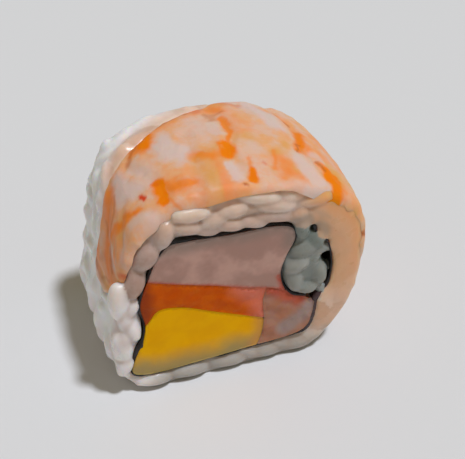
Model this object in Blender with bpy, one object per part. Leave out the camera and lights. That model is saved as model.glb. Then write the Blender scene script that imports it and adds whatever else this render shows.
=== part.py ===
"""A slice of an inside-out sushi roll, standing on its flat rolled side.

The cut faces look along -Y and +Y. A sheet of nori wraps four fillings and turns in on
itself round a core of rice, rice rings the nori, and a cooked shrimp lies over the top.
Every piece runs through the slice from one cut face to the other.
"""
import math

import bmesh
import bpy
import numpy as np

MM = 0.001

# Driving sizes, in metres
SLICE_DEPTH = 23.5 * MM
SWELL = 0.034
GAP = 0.3 * MM
NORI_THICKNESS = 0.55 * MM
SHRIMP_THICKNESS = 2.3 * MM
SHRIMP_END_THICKNESS = 1.1 * MM
RICE_FACE_INSET = 0.45 * MM
RICE_SIDE_INSET = 0.9 * MM
THINNEST_RICE = 0.5 * MM
RICE_STEP_RUN = 0.6 * MM
TURN_FROM_FRONT = 3.0 * MM
TURN_FROM_BACK = 2.0 * MM

# Rice grains that show: their size and how they are strewn
GRAIN_LENGTH = 6.0 * MM
GRAIN_WIDTH = 2.8 * MM
GRAIN_FLATNESS = 0.92
GRAIN_SIZES = (0.62, 1.12)
GRAIN_SPACING = 2.9 * MM
GRAIN_RISE = 0.35 * MM
GRAIN_RISE_SHARES = (-0.4, 1.0)
GRAIN_LEAN = 0.75
GRAIN_TIP = 0.12
GRAIN_TRIES = 9000
GRAIN_SEED = 11
GRAIN_RING_HEIGHTS = (0.62, 0.0, -0.62)
GRAIN_SIDES = 5
FACE_SHARE = 0.62
CURL_SHARE = 0.22
FACE_BAND = (0.9, 7.5)
CURL_BAND_X = (7.5, 14.0)
CURL_BAND_Z = (13.5, 27.5)
SIDE_MARGIN = 1.2 * MM
GRAIN_OUTSIDE = 0.35 * MM
GRAIN_LIFT = 0.05 * MM

# Places on the cut face, as (x, z) in millimetres, clockwise from the flat base's left end
OUTLINE = (
    (-15.0, 0.0), (-18.2, 1.4), (-20.5, 5.2), (-21.1, 10.0), (-20.0, 17.2), (-18.3, 25.0),
    (-16.6, 31.2), (-12.6, 34.9), (-5.6, 37.1), (2.4, 37.1), (9.6, 35.2), (16.3, 31.5),
    (20.1, 26.6), (20.9, 21.5), (20.5, 13.0), (18.6, 6.8), (14.4, 1.4), (11.6, 0.0),
)
# The nori from its free end at the top right, clockwise round the fillings and into its curl
NORI_WALL = (
    (11.6, 27.3), (12.3, 25.2), (13.9, 23.6), (14.9, 20.0), (15.0, 16.1), (14.3, 13.3),
    (12.8, 11.3), (12.4, 8.4), (11.4, 5.4), (8.2, 4.3), (1.6, 4.1), (-6.9, 3.7),
    (-14.6, 3.6), (-17.9, 4.9), (-17.3, 8.2), (-15.9, 11.6), (-15.4, 14.8), (-15.9, 19.2),
    (-14.3, 24.3), (-12.5, 28.2), (-9.8, 29.8), (-1.6, 29.2), (4.6, 29.0), (7.9, 28.0),
)
NORI_CURL = (
    (8.7, 25.6), (7.5, 22.6), (6.6, 19.4), (7.1, 16.2), (8.6, 13.9), (11.0, 12.7),
)
# Seams between the fillings
CRAB_SEAM = ((-15.7, 24.0), (-9.6, 21.6), (-4.2, 19.7), (0.6, 17.8), (4.6, 16.5), (7.2, 15.2))
ORANGE_SEAM = ((-16.6, 13.3), (-14.8, 15.2), (-12.9, 17.3), (-9.0, 16.6), (-4.3, 14.2), (3.9, 10.1))
PINK_SEAM = ((4.3, 16.9), (3.7, 14.0), (3.9, 10.1), (3.6, 7.0), (2.8, 4.1))
# The right side of the rice in the curl, which stands off the nori in one place
CORE_RIGHT = (
    (13.3, 13.4), (14.3, 15.4), (14.2, 17.9), (12.7, 19.8), (12.5, 22.0), (12.4, 23.9),
    (10.9, 26.3), (10.6, 30.6),
)
CORE_NECK = (9.3, 30.6)
CURL_END_DROP = 1.6

# The polar centre that the rice ring is measured from, in millimetres
RING_CENTRE = (-1.0, 16.0)
RING_POINTS = 66
RING_UNDER_SHARES = (0.34, 0.67)

# The shrimp's two ends on the outline, and how far back it reaches by share of its length
SHRIMP_LEFT = (-19.6, 17.0)
SHRIMP_RIGHT = (20.7, 17.5)
SHRIMP_BACK = (
    (0.0, -1.6), (0.06, -0.4), (0.195, 0.8), (0.258, 2.6), (0.31, 4.3), (0.378, 6.6),
    (0.448, 8.7), (0.515, 10.6), (0.57, 11.75), (1.0, 11.75),
)
SHRIMP_STEPS = 46
# Its profile from front to back: distance in from an edge, and share of the thickness cut off
SHRIMP_FRONT_EDGE = ((0.0, 1.0), (0.0, 0.42), (0.45, 0.14))
SHRIMP_BACK_EDGE = ((0.6, 0.2), (0.0, 0.55), (0.0, 1.0))
SHRIMP_TOP_FROM = 1.3 * MM
SHRIMP_TOP_TO = 1.6 * MM
SHRIMP_TOP_POINTS = 6
SHRIMP_UNDER_POINTS = 5
SHRIMP_END_FULLNESS = 0.5
# Beyond this depth the shrimp counts as flush with the back face
FLUSH_REACH = 9.2 * MM
# How far past its ends, as shares, the rice stays cut back, and the grains keep off
COVER_MARGIN = 0.035
GRAIN_COVER_MARGIN = 0.05

# The hollow at the foot of the front face's left side
BITE_PLACE = (-20.0 * MM, -12.6 * MM, 2.0 * MM)
BITE_RADII = (3.6 * MM, 5.0 * MM, 2.7 * MM)

COLOURS = {
    "rice": (0.72, 0.70, 0.64, 0.45),
    "nori": (0.012, 0.014, 0.012, 0.5),
    "shrimp": (0.83, 0.47, 0.30, 0.35),
    "crab_stick": (0.62, 0.42, 0.38, 0.4),
    "salmon_slice": (0.78, 0.20, 0.03, 0.35),
    "pickled_radish": (0.80, 0.50, 0.02, 0.35),
    "crab_meat": (0.66, 0.42, 0.33, 0.4),
}

# How finely lines and walls are divided
OUTLINE_STEP = 0.4 * MM
NORI_LINE_STEP = 0.25 * MM
NORI_STEP = 1.25 * MM
SEAM_STEP = 0.3 * MM
FILLING_STEP = 1.3 * MM
CORE_LINE_STEP = 0.6 * MM
CORE_STEP = 1.1 * MM
SIDE_STEPS = 3
CORE_STATIONS = 5
SEAM_TRIM = 1
CURL_OVERLAP = 4
LINE_SLACK = 0.02 * MM
FLAT_BASE = 0.01 * MM
WELD_DISTANCE = 0.0004 * MM

HALF_DEPTH = SLICE_DEPTH / 2
NORI_CLEAR = NORI_THICKNESS / 2 + GAP


def clear_scene():
    """Removes whatever the open scene holds."""
    for item in list(bpy.data.objects):
        bpy.data.objects.remove(item, do_unlink=True)


def smooth(points, spacing, closed=False):
    """Catmull-Rom curve through millimetre points, as metres, evenly spaced."""
    keys = np.array(points, dtype=float) * MM
    if closed:
        keys = np.vstack([keys[-1:], keys, keys[:2]])
    else:
        keys = np.vstack([2 * keys[0] - keys[1], keys, 2 * keys[-1] - keys[-2]])
    u = np.linspace(0, 1, 24, endpoint=False)[:, None]
    spans = []
    for a, b, c, d in zip(keys[:-3], keys[1:-2], keys[2:-1], keys[3:]):
        spans.append(0.5 * (2 * b + (c - a) * u + (2 * a - 5 * b + 4 * c - d) * u**2
                            + (3 * b - a - 3 * c + d) * u**3))
    line = np.vstack(spans + [keys[-2:-1]])
    return even(line, spacing)


def even(line, spacing):
    """The same line with its points about one spacing apart."""
    run = np.concatenate([[0], np.cumsum(np.linalg.norm(np.diff(line, axis=0), axis=1))])
    marks = np.linspace(0, run[-1], max(3, int(round(run[-1] / spacing)) + 1))
    return np.stack([np.interp(marks, run, line[:, 0]), np.interp(marks, run, line[:, 1])], 1)


def shifted(line, distance):
    """The line moved to the left of its direction of travel."""
    along = np.gradient(line, axis=0)
    along /= np.linalg.norm(along, axis=1)[:, None]
    return line + distance * np.stack([-along[:, 1], along[:, 0]], 1)


def distance_to(line, points):
    """Shortest distance from each point to a polyline."""
    a = line[:-1][None]
    step = (line[1:] - line[:-1])[None]
    to = points[:, None] - a
    share = np.clip((to * step).sum(2) / (step**2).sum(2), 0, 1)
    return np.linalg.norm(to - share[..., None] * step, axis=2).min(1)


def polar(loop, angles):
    """Distance from the ring's centre to a loop in each direction."""
    to = loop - np.array(RING_CENTRE) * MM
    return np.interp(angles, np.arctan2(to[:, 1], to[:, 0]), np.linalg.norm(to, axis=1), period=2 * math.pi)


def swollen(x, y, z):
    """Section places carried to depth y, where the slice's middle is a little fuller."""
    grow = 1 + SWELL * (1 - (y / HALF_DEPTH) ** 2)
    return np.stack([x * grow, y, z * grow], -1)


def new_object(name, points, faces):
    """A mesh object from points and faces, with its normals turned outwards."""
    mesh = bpy.data.meshes.new(name)
    mesh.from_pydata([tuple(p) for p in points], [], faces)
    build = bmesh.new()
    build.from_mesh(mesh)
    bmesh.ops.triangulate(build, faces=build.faces)
    bmesh.ops.recalc_face_normals(build, faces=build.faces)
    build.to_mesh(mesh)
    build.free()
    item = bpy.data.objects.new(name, mesh)
    bpy.context.collection.objects.link(item)
    return item


def loft(name, rings, cap_rows=None):
    """Skins closed rings of equal length; cap_rows gives the end faces as index rows."""
    count = len(rings[0])
    points = np.vstack(rings)
    faces = []
    for ring in range(len(rings) - 1):
        for i in range(count):
            j = (i + 1) % count
            a, b = ring * count, (ring + 1) * count
            faces.append((a + i, a + j, b + j, b + i))
    caps = cap_rows or [tuple(range(count))]
    last = (len(rings) - 1) * count
    for cap in caps:
        faces.append(tuple(reversed(cap)))
        faces.append(tuple(last + i for i in cap))
    return new_object(name, points, faces)


def extruded(name, section, stations, cap_rows=None):
    """A section polygon carried through the slice."""
    rings = [swollen(section[:, 0], np.full(len(section), y), section[:, 1]) for y in stations]
    return loft(name, rings, cap_rows)


def depth_stations(steps):
    """Depths from the front cut face to the back one."""
    return np.linspace(-HALF_DEPTH, HALF_DEPTH, steps + 1)


def kept_clear(section, line, clearance):
    """Section points pushed out to a clearance from a line they must not touch."""
    out = section.copy()
    for _ in range(3):
        a = line[:-1][None]
        step = (line[1:] - line[:-1])[None]
        share = np.clip(((out[:, None] - a) * step).sum(2) / (step**2).sum(2), 0, 1)
        near = a + share[..., None] * step
        away = out[:, None] - near
        length = np.linalg.norm(away, axis=2)
        pick = length.argmin(1)
        rows = np.arange(len(out))
        vector = away[rows, pick]
        short = length[rows, pick]
        push = np.where(short < clearance, clearance / np.maximum(short, 1e-9), 1.0)
        out = near[rows, pick] + vector * push[:, None]
    return out


def cut_at(line, other):
    """Indices where two lines come closest, on each of them."""
    gap = np.linalg.norm(line[:, None] - other[None], axis=2)
    return np.unravel_index(gap.argmin(), gap.shape)


OUTLINE_LOOP = smooth(OUTLINE, OUTLINE_STEP, closed=True)
OUTLINE_LOOP[:, 1] = np.maximum(OUTLINE_LOOP[:, 1], 0.0)
NORI_LINE = smooth(NORI_WALL + NORI_CURL, NORI_LINE_STEP)
WALL_END = cut_at(NORI_LINE, np.array([NORI_WALL[-1]]) * MM)[0]
CURL_MEETS_WALL = cut_at(NORI_LINE[:WALL_END], NORI_LINE[-1:])[0]


def make_nori():
    """The nori strip: both faces of one line, joined across its thickness."""
    line = even(NORI_LINE, NORI_STEP)
    left = shifted(line, NORI_THICKNESS / 2)
    right = shifted(line, -NORI_THICKNESS / 2)
    section = np.vstack([left, right[::-1]])
    count = len(line)
    rows = [(i, i + 1, 2 * count - 2 - i, 2 * count - 1 - i) for i in range(count - 1)]
    return extruded("nori", section, depth_stations(SIDE_STEPS), rows)


def filling(name, sides):
    """A filling whose section is the closed run of its sides, clear of the nori."""
    section = np.vstack([side for side in sides if len(side)])
    section = even(np.vstack([section, section[:1]]), FILLING_STEP)[:-1]
    section = kept_clear(section, NORI_LINE, NORI_CLEAR)
    return extruded(name, section, depth_stations(SIDE_STEPS))


def seam(points):
    """The stretch of a seam that lies among the fillings, clear of the nori."""
    line = smooth(points, SEAM_STEP)
    loop = NORI_LINE[CURL_MEETS_WALL:]
    return line[in_polygon(line, loop) & (distance_to(NORI_LINE, line) > NORI_CLEAR)]


def make_fillings():
    """The four fillings, split along their seams inside the nori."""
    inside = shifted(NORI_LINE, -NORI_CLEAR)
    inside = inside[distance_to(NORI_LINE, inside) > NORI_CLEAR - LINE_SLACK]
    crab = seam(CRAB_SEAM)
    orange = seam(ORANGE_SEAM)
    pink = seam(PINK_SEAM)
    half = GAP / 2
    crab_left = cut_at(inside, crab[:1])[0]
    crab_right = cut_at(inside, crab[-1:])[0]
    orange_left = cut_at(inside, orange[:1])[0]
    pink_low = cut_at(inside, pink[-1:])[0]
    crab_pink = cut_at(crab, pink[:1])[0]
    orange_pink, pink_orange = cut_at(orange, pink)
    above = shifted(crab, half)
    below = shifted(crab, -half)
    over = shifted(orange, half)
    under = shifted(orange, -half)
    east = shifted(pink, half)
    west = shifted(pink, -half)
    trim = SEAM_TRIM
    return [
        filling("crab_stick", [inside[crab_left + trim:crab_right - trim], above[::-1][trim:-trim]]),
        filling("salmon_slice", [
            below[trim:crab_pink - trim], west[trim:pink_orange - trim],
            over[trim:orange_pink - trim][::-1], inside[orange_left + trim:crab_left - trim],
        ]),
        filling("pickled_radish", [
            under[trim:orange_pink - trim], west[pink_orange + trim:-trim],
            inside[pink_low + trim:orange_left - trim],
        ]),
        filling("crab_meat", [
            east[::-1][trim:-trim], below[crab_pink + trim:-trim],
            inside[crab_right + trim:], inside[lowest_wall(inside):pink_low - trim],
        ]),
    ]


def lowest_wall(inside):
    """Where the nori's right wall passes just under the end of its curl."""
    curl_end_z = (NORI_CURL[-1][1] - CURL_END_DROP) * MM
    return int(np.argmax(inside[:, 1] < curl_end_z))


def shrimp_range():
    """Outline indices of the shrimp's left and right ends."""
    left = cut_at(OUTLINE_LOOP, np.array([SHRIMP_LEFT]) * MM)[0]
    right = cut_at(OUTLINE_LOOP, np.array([SHRIMP_RIGHT]) * MM)[0]
    return left, right


def shrimp_reach(share):
    """How far back the shrimp reaches: short on the left, flush on the right."""
    marks, depths = np.array(SHRIMP_BACK).T
    return np.interp(share, marks, depths * MM)


def shrimp_thickness(share):
    """Thick over the top of the roll and thin at both ends."""
    return SHRIMP_END_THICKNESS + (SHRIMP_THICKNESS - SHRIMP_END_THICKNESS) * (1 - (2 * share - 1) ** 4)


def outline_frame():
    """Outline points with their inward normals and the shrimp's share at each."""
    loop = OUTLINE_LOOP
    along = np.roll(loop, -1, axis=0) - np.roll(loop, 1, axis=0)
    along /= np.maximum(np.linalg.norm(along, axis=1), 1e-9)[:, None]
    inward = np.stack([along[:, 1], -along[:, 0]], 1)
    left, right = shrimp_range()
    share = (np.arange(len(loop)) - left) / (right - left)
    return loop, inward, share


def make_shrimp():
    """The shrimp: a rounded slab bent over the outline, edge by edge."""
    loop, inward, share = outline_frame()
    left, right = shrimp_range()
    marks = np.linspace(left, right, SHRIMP_STEPS + 1)
    index = np.arange(len(loop))
    front_in, front_cut = np.array(SHRIMP_FRONT_EDGE).T
    back_in, back_cut = np.array(SHRIMP_BACK_EDGE).T
    cut = np.concatenate([front_cut, np.zeros(SHRIMP_TOP_POINTS), back_cut, np.ones(SHRIMP_UNDER_POINTS)])
    front = -HALF_DEPTH
    rings = []
    for mark in marks:
        s = (mark - left) / (right - left)
        base = np.array([np.interp(mark, index, loop[:, 0]), np.interp(mark, index, loop[:, 1])])
        normal = np.array([np.interp(mark, index, inward[:, 0]), np.interp(mark, index, inward[:, 1])])
        normal /= np.linalg.norm(normal)
        back = float(shrimp_reach(s))
        top = np.linspace(front + SHRIMP_TOP_FROM, back - SHRIMP_TOP_TO, SHRIMP_TOP_POINTS)
        under = np.linspace(back, front, SHRIMP_UNDER_POINTS + 2)[1:-1]
        depths = np.concatenate([front + front_in * MM, top, back - back_in * MM, under])
        fullness = 1.0 if 0 < s < 1 else SHRIMP_END_FULLNESS
        inset = (1 - (1 - cut) * fullness) * float(shrimp_thickness(s))
        flat = base[None] + normal[None] * inset[:, None]
        rings.append(swollen(flat[:, 0], depths, flat[:, 1]))
    return loft("shrimp", rings)


def rice_inset(share, reach, y):
    """How far the rice's side lies inside the outline: deeper under the shrimp."""
    under = shrimp_thickness(np.clip(share, 0, 1)) + GAP
    return np.where(y <= reach + GAP, under, RICE_SIDE_INSET)


def make_ring():
    """The plain rice ring between the nori and the outline."""
    loop, inward, share = outline_frame()
    pick = np.linspace(0, len(loop), RING_POINTS, endpoint=False).astype(int)
    covered = (share[pick] > -COVER_MARGIN) & (share[pick] < 1 + COVER_MARGIN)
    reach = np.where(covered, shrimp_reach(np.clip(share[pick], 0, 1)), -2 * HALF_DEPTH)
    reach = np.where(reach > FLUSH_REACH, HALF_DEPTH, reach)
    reach = np.maximum(reach, np.maximum(np.roll(reach, 1), np.roll(reach, -1)))
    wall = NORI_LINE[:WALL_END + 1]
    wall = shifted(wall, NORI_CLEAR)
    wall = wall[distance_to(NORI_LINE, wall) > NORI_CLEAR - LINE_SLACK]
    base = loop[pick]
    to = base - np.array(RING_CENTRE) * MM
    angles = np.arctan2(to[:, 1], to[:, 0])
    radius = polar(wall, angles)
    inner = np.array(RING_CENTRE) * MM + radius[:, None] * np.stack([np.cos(angles), np.sin(angles)], 1)
    room = distance_to(NORI_LINE, base) - NORI_CLEAR - THINNEST_RICE
    face = HALF_DEPTH - RICE_FACE_INSET
    turn = np.clip(reach, -face + TURN_FROM_FRONT, face - TURN_FROM_BACK)
    edge = turn + GAP
    step = edge + RICE_STEP_RUN
    rows = [np.full(RING_POINTS, -face)] + [-face + (turn + face) * part for part in RING_UNDER_SHARES]
    rows += [edge, step, (step + face) / 2, np.full(RING_POINTS, face)]
    rings = []
    for y in rows:
        inset = rice_inset(share[pick], reach, y)
        inset = np.where(inset <= RICE_SIDE_INSET, np.clip(room, 0, inset), inset)
        flat = base + inward[pick] * inset[:, None]
        flat[:, 1] = np.maximum(flat[:, 1] * (base[:, 1] > FLAT_BASE), 0.0)
        rings.append(swollen(flat[:, 0], y, flat[:, 1]))
    for y in np.linspace(face, -face, SIDE_STEPS + 1):
        rings.append(swollen(inner[:, 0], np.full(RING_POINTS, y), inner[:, 1]))
    count = RING_POINTS
    points = np.vstack(rings)
    faces = []
    for ring in range(len(rings)):
        after = (ring + 1) % len(rings)
        for i in range(count):
            j = (i + 1) % count
            faces.append((ring * count + i, ring * count + j, after * count + j, after * count + i))
    return new_object("rice", points, faces)


def core_section():
    """The rice inside the nori's curl, up to where it joins the ring."""
    curl = shifted(NORI_LINE[WALL_END - CURL_OVERLAP:], NORI_CLEAR)
    curl = curl[distance_to(NORI_LINE, curl) > NORI_CLEAR - LINE_SLACK]
    right = smooth(CORE_RIGHT, CORE_LINE_STEP)
    right = kept_clear(right, NORI_LINE, NORI_CLEAR)
    section = np.vstack([curl, right, [np.array(CORE_NECK) * MM]])
    section = even(np.vstack([section, section[:1]]), CORE_STEP)[:-1]
    return kept_clear(section, NORI_LINE, NORI_CLEAR)


def in_polygon(points, polygon):
    """Which points lie inside a closed polygon."""
    ends = np.roll(polygon, -1, axis=0)
    x, z = points[:, :1], points[:, 1:]
    cross = (polygon[:, 1][None] > z) != (ends[:, 1][None] > z)
    climb = ends[:, 1] - polygon[:, 1]
    slope = (ends[:, 0] - polygon[:, 0]) / np.where(climb == 0, 1e-12, climb)
    hit = x < polygon[:, 0][None] + (z - polygon[:, 1][None]) * slope[None]
    return (cross & hit).sum(1) % 2 == 1


def grain_points():
    """A faceted rice grain on the unit sphere: two poles and three rings of five."""
    rows = [(0.0, 0.0, 1.0)]
    for ring, height in enumerate(GRAIN_RING_HEIGHTS):
        wide = math.sqrt(1 - height**2)
        for i in range(GRAIN_SIDES):
            turn = 2 * math.pi * (i + 0.5 * (ring % 2)) / GRAIN_SIDES
            rows.append((wide * math.cos(turn), wide * math.sin(turn), height))
    rows.append((0.0, 0.0, -1.0))
    return np.array(rows)


def grain_faces():
    """The grain's triangles: fans at both poles and two bands between the rings."""
    upper = 1
    middle = upper + GRAIN_SIDES
    lower = middle + GRAIN_SIDES
    pole = lower + GRAIN_SIDES
    faces = []
    for i in range(GRAIN_SIDES):
        j = (i + 1) % GRAIN_SIDES
        faces += [(0, upper + i, upper + j), (pole, lower + j, lower + i)]
        faces += [(upper + i, middle + i, upper + j), (upper + j, middle + i, middle + j)]
        faces += [(middle + i, lower + j, middle + j), (middle + i, lower + i, lower + j)]
    return faces


def grain_fits(points, core):
    """True where every corner of a grain stays in the rice's own space."""
    grow = 1 + SWELL * (1 - np.clip(points[:, 1] / HALF_DEPTH, -1, 1) ** 2)
    flat = points[:, [0, 2]] / grow[:, None]
    if flat[:, 1].min() < GRAIN_LIFT or np.abs(points[:, 1]).max() > HALF_DEPTH + GRAIN_RISE:
        return False
    beyond = np.abs(points[:, 1]) > HALF_DEPTH + GAP
    near = distance_to(NORI_LINE, flat) > NORI_CLEAR
    loop = NORI_LINE[:WALL_END + 1]
    outside = ~in_polygon(flat, loop)
    held = near & (outside | in_polygon(flat, core))
    if not (held | beyond).all():
        return False
    # Under the shrimp a grain must lie deeper than the shrimp does
    frame_loop, inward, share = outline_frame()
    pick = np.linalg.norm(flat[:, None] - frame_loop[None], axis=2).argmin(1)
    depth = ((flat - frame_loop[pick]) * inward[pick]).sum(1)
    part = share[pick]
    covered = (part > -GRAIN_COVER_MARGIN) & (part < 1 + GRAIN_COVER_MARGIN)
    under = shrimp_thickness(np.clip(part, 0, 1)) + GAP
    shaded = covered & (points[:, 1] < shrimp_reach(np.clip(part, 0, 1)) + GAP)
    if (shaded & (depth < under) & ~beyond).any():
        return False
    return bool((depth > -GRAIN_OUTSIDE).all())


def grain_places(core):
    """Grain bodies on the cut faces and the bare sides, largest first, spread evenly."""
    rng = np.random.default_rng(GRAIN_SEED)
    loop, inward, _ = outline_frame()
    shape = grain_points()
    sizes = np.sort(rng.uniform(*GRAIN_SIZES, GRAIN_TRIES))[::-1]
    centres, bodies = [], []
    for size in sizes:
        k = rng.integers(len(loop))
        on_face = rng.random() < FACE_SHARE
        deep = rng.uniform(*FACE_BAND) * MM
        if on_face and rng.random() < CURL_SHARE:
            flat = np.array([rng.uniform(*CURL_BAND_X), rng.uniform(*CURL_BAND_Z)]) * MM
        elif on_face:
            flat = loop[k] + inward[k] * deep
        else:
            flat = loop[k]
        side = 1 if rng.random() < 0.5 else -1
        y = side * HALF_DEPTH if on_face else rng.uniform(-1, 1) * (HALF_DEPTH - SIDE_MARGIN)
        centre = swollen(flat[0], np.array(y), flat[1])
        lean = rng.normal(0, GRAIN_LEAN)
        tip = rng.normal(0, GRAIN_TIP)
        if centres and np.linalg.norm(np.array(centres) - centre, axis=1).min() < GRAIN_SPACING:
            continue
        along = np.array([-inward[k][1], 0.0, inward[k][0]])
        out = np.array([-inward[k][0], 0.0, -inward[k][1]])
        if on_face:
            out = np.array([0.0, float(side), 0.0])
        cross = np.cross(out, along)
        axis = along * math.cos(lean) + cross * math.sin(lean)
        axis = axis * math.cos(tip) + out * math.sin(tip)
        third = np.cross(axis, out)
        third /= np.linalg.norm(third)
        second = np.cross(third, axis)
        half = np.array([GRAIN_WIDTH, GRAIN_WIDTH * GRAIN_FLATNESS, GRAIN_LENGTH]) / 2 * size
        body = centre + (shape * half) @ np.stack([third, second, axis])
        level = ((body - centre) @ out).max()
        body = body + out * (GRAIN_RISE * rng.uniform(*GRAIN_RISE_SHARES) - level)
        if grain_fits(body, core):
            centres.append(centre)
            bodies.append(body)
    return bodies


def cut_away(item, cutter):
    """Takes a cutter's shape out of an object and removes the cutter."""
    change = item.modifiers.new("cut", "BOOLEAN")
    change.operation = "DIFFERENCE"
    change.object = cutter
    apply_modifiers(item)
    bpy.data.objects.remove(cutter, do_unlink=True)


def apply_modifiers(item):
    """Replaces an object's mesh by what its modifiers make of it."""
    graph = bpy.context.evaluated_depsgraph_get()
    graph.update()
    mesh = bpy.data.meshes.new_from_object(item.evaluated_get(graph))
    item.modifiers.clear()
    item.data = mesh


def largest_body(item):
    """Keeps the biggest connected body of a mesh and drops loose scraps."""
    build = bmesh.new()
    build.from_mesh(item.data)
    bmesh.ops.remove_doubles(build, verts=build.verts, dist=WELD_DISTANCE)
    left = set(build.verts)
    groups = []
    while left:
        stack = [left.pop()]
        group = list(stack)
        while stack:
            for edge in stack.pop().link_edges:
                for vert in edge.verts:
                    if vert in left:
                        left.discard(vert)
                        stack.append(vert)
                        group.append(vert)
        groups.append(group)
    groups.sort(key=len, reverse=True)
    scraps = [vert for group in groups[1:] for vert in group]
    bmesh.ops.delete(build, geom=scraps, context="VERTS")
    bmesh.ops.triangulate(build, faces=build.faces)
    build.to_mesh(item.data)
    build.free()


def make_corner_bite():
    """The hollow at the front left of the base, where the nori's corner shows."""
    bpy.ops.mesh.primitive_uv_sphere_add(segments=12, ring_count=8, radius=1.0)
    bite = bpy.context.object
    bite.name = "corner_bite"
    bite.hide_render = True
    bite.display_type = "WIRE"
    for vert in bite.data.vertices:
        for axis in range(3):
            vert.co[axis] = BITE_PLACE[axis] + BITE_RADII[axis] * vert.co[axis]
    return bite


def make_rice():
    """The ring, the rice in the curl and the grains that show, joined into one body."""
    ring = make_ring()
    core = core_section()
    face = HALF_DEPTH - RICE_FACE_INSET
    pieces = [extruded("rice_core", core, np.linspace(-face, face, CORE_STATIONS))]
    faces = grain_faces()
    for body in grain_places(core):
        pieces.append(new_object("grain", body, faces))
    group = bpy.data.collections.new("rice_pieces")
    bpy.context.scene.collection.children.link(group)
    for piece in pieces:
        group.objects.link(piece)
        bpy.context.collection.objects.unlink(piece)
    change = ring.modifiers.new("join", "BOOLEAN")
    change.operation = "UNION"
    change.operand_type = "COLLECTION"
    change.collection = group
    change.solver = "MANIFOLD"
    apply_modifiers(ring)
    for piece in pieces:
        bpy.data.objects.remove(piece, do_unlink=True)
    bpy.data.collections.remove(group)
    cut_away(ring, make_corner_bite())
    largest_body(ring)
    return ring


def finish(item):
    """Gives an object its own material."""
    red, green, blue, rough = COLOURS[item.name]
    material = bpy.data.materials.new(item.name)
    material.use_nodes = True
    shader = material.node_tree.nodes["Principled BSDF"]
    shader.inputs["Base Color"].default_value = (red, green, blue, 1.0)
    shader.inputs["Roughness"].default_value = rough
    shader.inputs["Metallic"].default_value = 0.0
    material.diffuse_color = (red, green, blue, 1.0)
    item.data.materials.clear()
    item.data.materials.append(material)


def centre_on_base(items):
    """Moves every mesh so that the whole stands centred on the origin."""
    points = np.vstack([np.array([v.co for v in item.data.vertices]) for item in items])
    low, high = points.min(0), points.max(0)
    shift = np.array([(low[0] + high[0]) / 2, (low[1] + high[1]) / 2, low[2]])
    for item in items:
        for vert in item.data.vertices:
            vert.co = vert.co - type(vert.co)(shift)


def main():
    """Builds every piece of the slice."""
    clear_scene()
    items = [make_rice(), make_nori(), make_shrimp()] + make_fillings()
    for item in items:
        finish(item)
    centre_on_base(items)


main()
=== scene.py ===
"""Looks of an uramaki slice: rice, nori, cooked shrimp and four fillings.

Lengths are in millimetres until a mesh is written, which is in metres. The section of the
slice lies in the x-z plane, seen from the front: x to the right and z up. Depth y runs from
the front cut face to the back one. Every piece is the section carried through the slice.
"""

import itertools
import logging
import math
from dataclasses import dataclass
from enum import Enum
from functools import cached_property

import bpy
import numpy as np
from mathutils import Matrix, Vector, geometry

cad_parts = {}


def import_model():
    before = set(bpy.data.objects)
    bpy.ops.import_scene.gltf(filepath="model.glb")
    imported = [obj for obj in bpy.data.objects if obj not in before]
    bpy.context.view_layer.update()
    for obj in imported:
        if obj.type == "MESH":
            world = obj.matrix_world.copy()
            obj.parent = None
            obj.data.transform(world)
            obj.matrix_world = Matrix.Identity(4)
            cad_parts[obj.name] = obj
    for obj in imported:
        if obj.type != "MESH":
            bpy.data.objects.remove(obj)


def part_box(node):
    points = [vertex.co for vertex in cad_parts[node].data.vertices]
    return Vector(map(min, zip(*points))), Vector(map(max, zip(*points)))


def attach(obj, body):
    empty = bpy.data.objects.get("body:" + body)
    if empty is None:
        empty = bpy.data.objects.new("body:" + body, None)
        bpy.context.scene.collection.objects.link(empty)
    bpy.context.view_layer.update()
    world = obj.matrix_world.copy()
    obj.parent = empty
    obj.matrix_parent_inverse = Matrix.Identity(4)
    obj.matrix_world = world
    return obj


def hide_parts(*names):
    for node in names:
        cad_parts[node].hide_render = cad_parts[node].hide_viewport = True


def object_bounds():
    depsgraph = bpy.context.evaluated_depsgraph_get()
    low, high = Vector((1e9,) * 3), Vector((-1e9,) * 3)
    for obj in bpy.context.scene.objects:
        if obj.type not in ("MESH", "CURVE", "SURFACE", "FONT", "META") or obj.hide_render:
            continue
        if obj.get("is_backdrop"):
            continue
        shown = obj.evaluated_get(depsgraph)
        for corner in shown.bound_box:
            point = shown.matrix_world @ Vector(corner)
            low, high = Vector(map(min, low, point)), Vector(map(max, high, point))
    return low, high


MM = 0.001
LOG = logging.getLogger("uramaki")

Array = np.ndarray
Colour = tuple[float, float, float]
Keys = tuple[tuple[float, float], ...]
# A pair of numbers: a place on the section, a range, or where a smooth step is 0 and is 1
Pair = tuple[float, float]
# Grains as their middle, three half axes as rows, and tone
Grains = list[tuple[Array, Array, float]]

POINTS_PER_KEY = 24
CELLS_AT_ONCE = 1_500_000
NORI_PANEL = 1.25
LATTICE_PRIMES = (668265263, 2147483647, 1274126177)
LATTICE_START = 374761393
LATTICE_STEP = 1103515245
LATTICE_LIMIT = 0x7FFFFFFF
LATTICE_LEVELS = 20011


class Side(Enum):
    """The slice's two cut faces, by the sign of their depth."""

    FRONT = -1
    BACK = 1


# Curves and noise


def hue(red: int, green: int, blue: int) -> Colour:
    """A display colour as linear light.

    Args:
        red, green, blue: display values from 0 to 255.

    Returns:
        The three linear values.
    """
    shown = np.array([red, green, blue]) / 255
    linear = np.where(shown <= 0.04045, shown / 12.92, ((shown + 0.055) / 1.055) ** 2.4)
    return tuple(float(v) for v in linear)


def ease(low: float, high: float, value: Array) -> Array:
    """Smooth step from 0 at low to 1 at high."""
    t = np.clip((value - low) / (high - low), 0, 1)
    return t * t * (3 - 2 * t)


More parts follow.
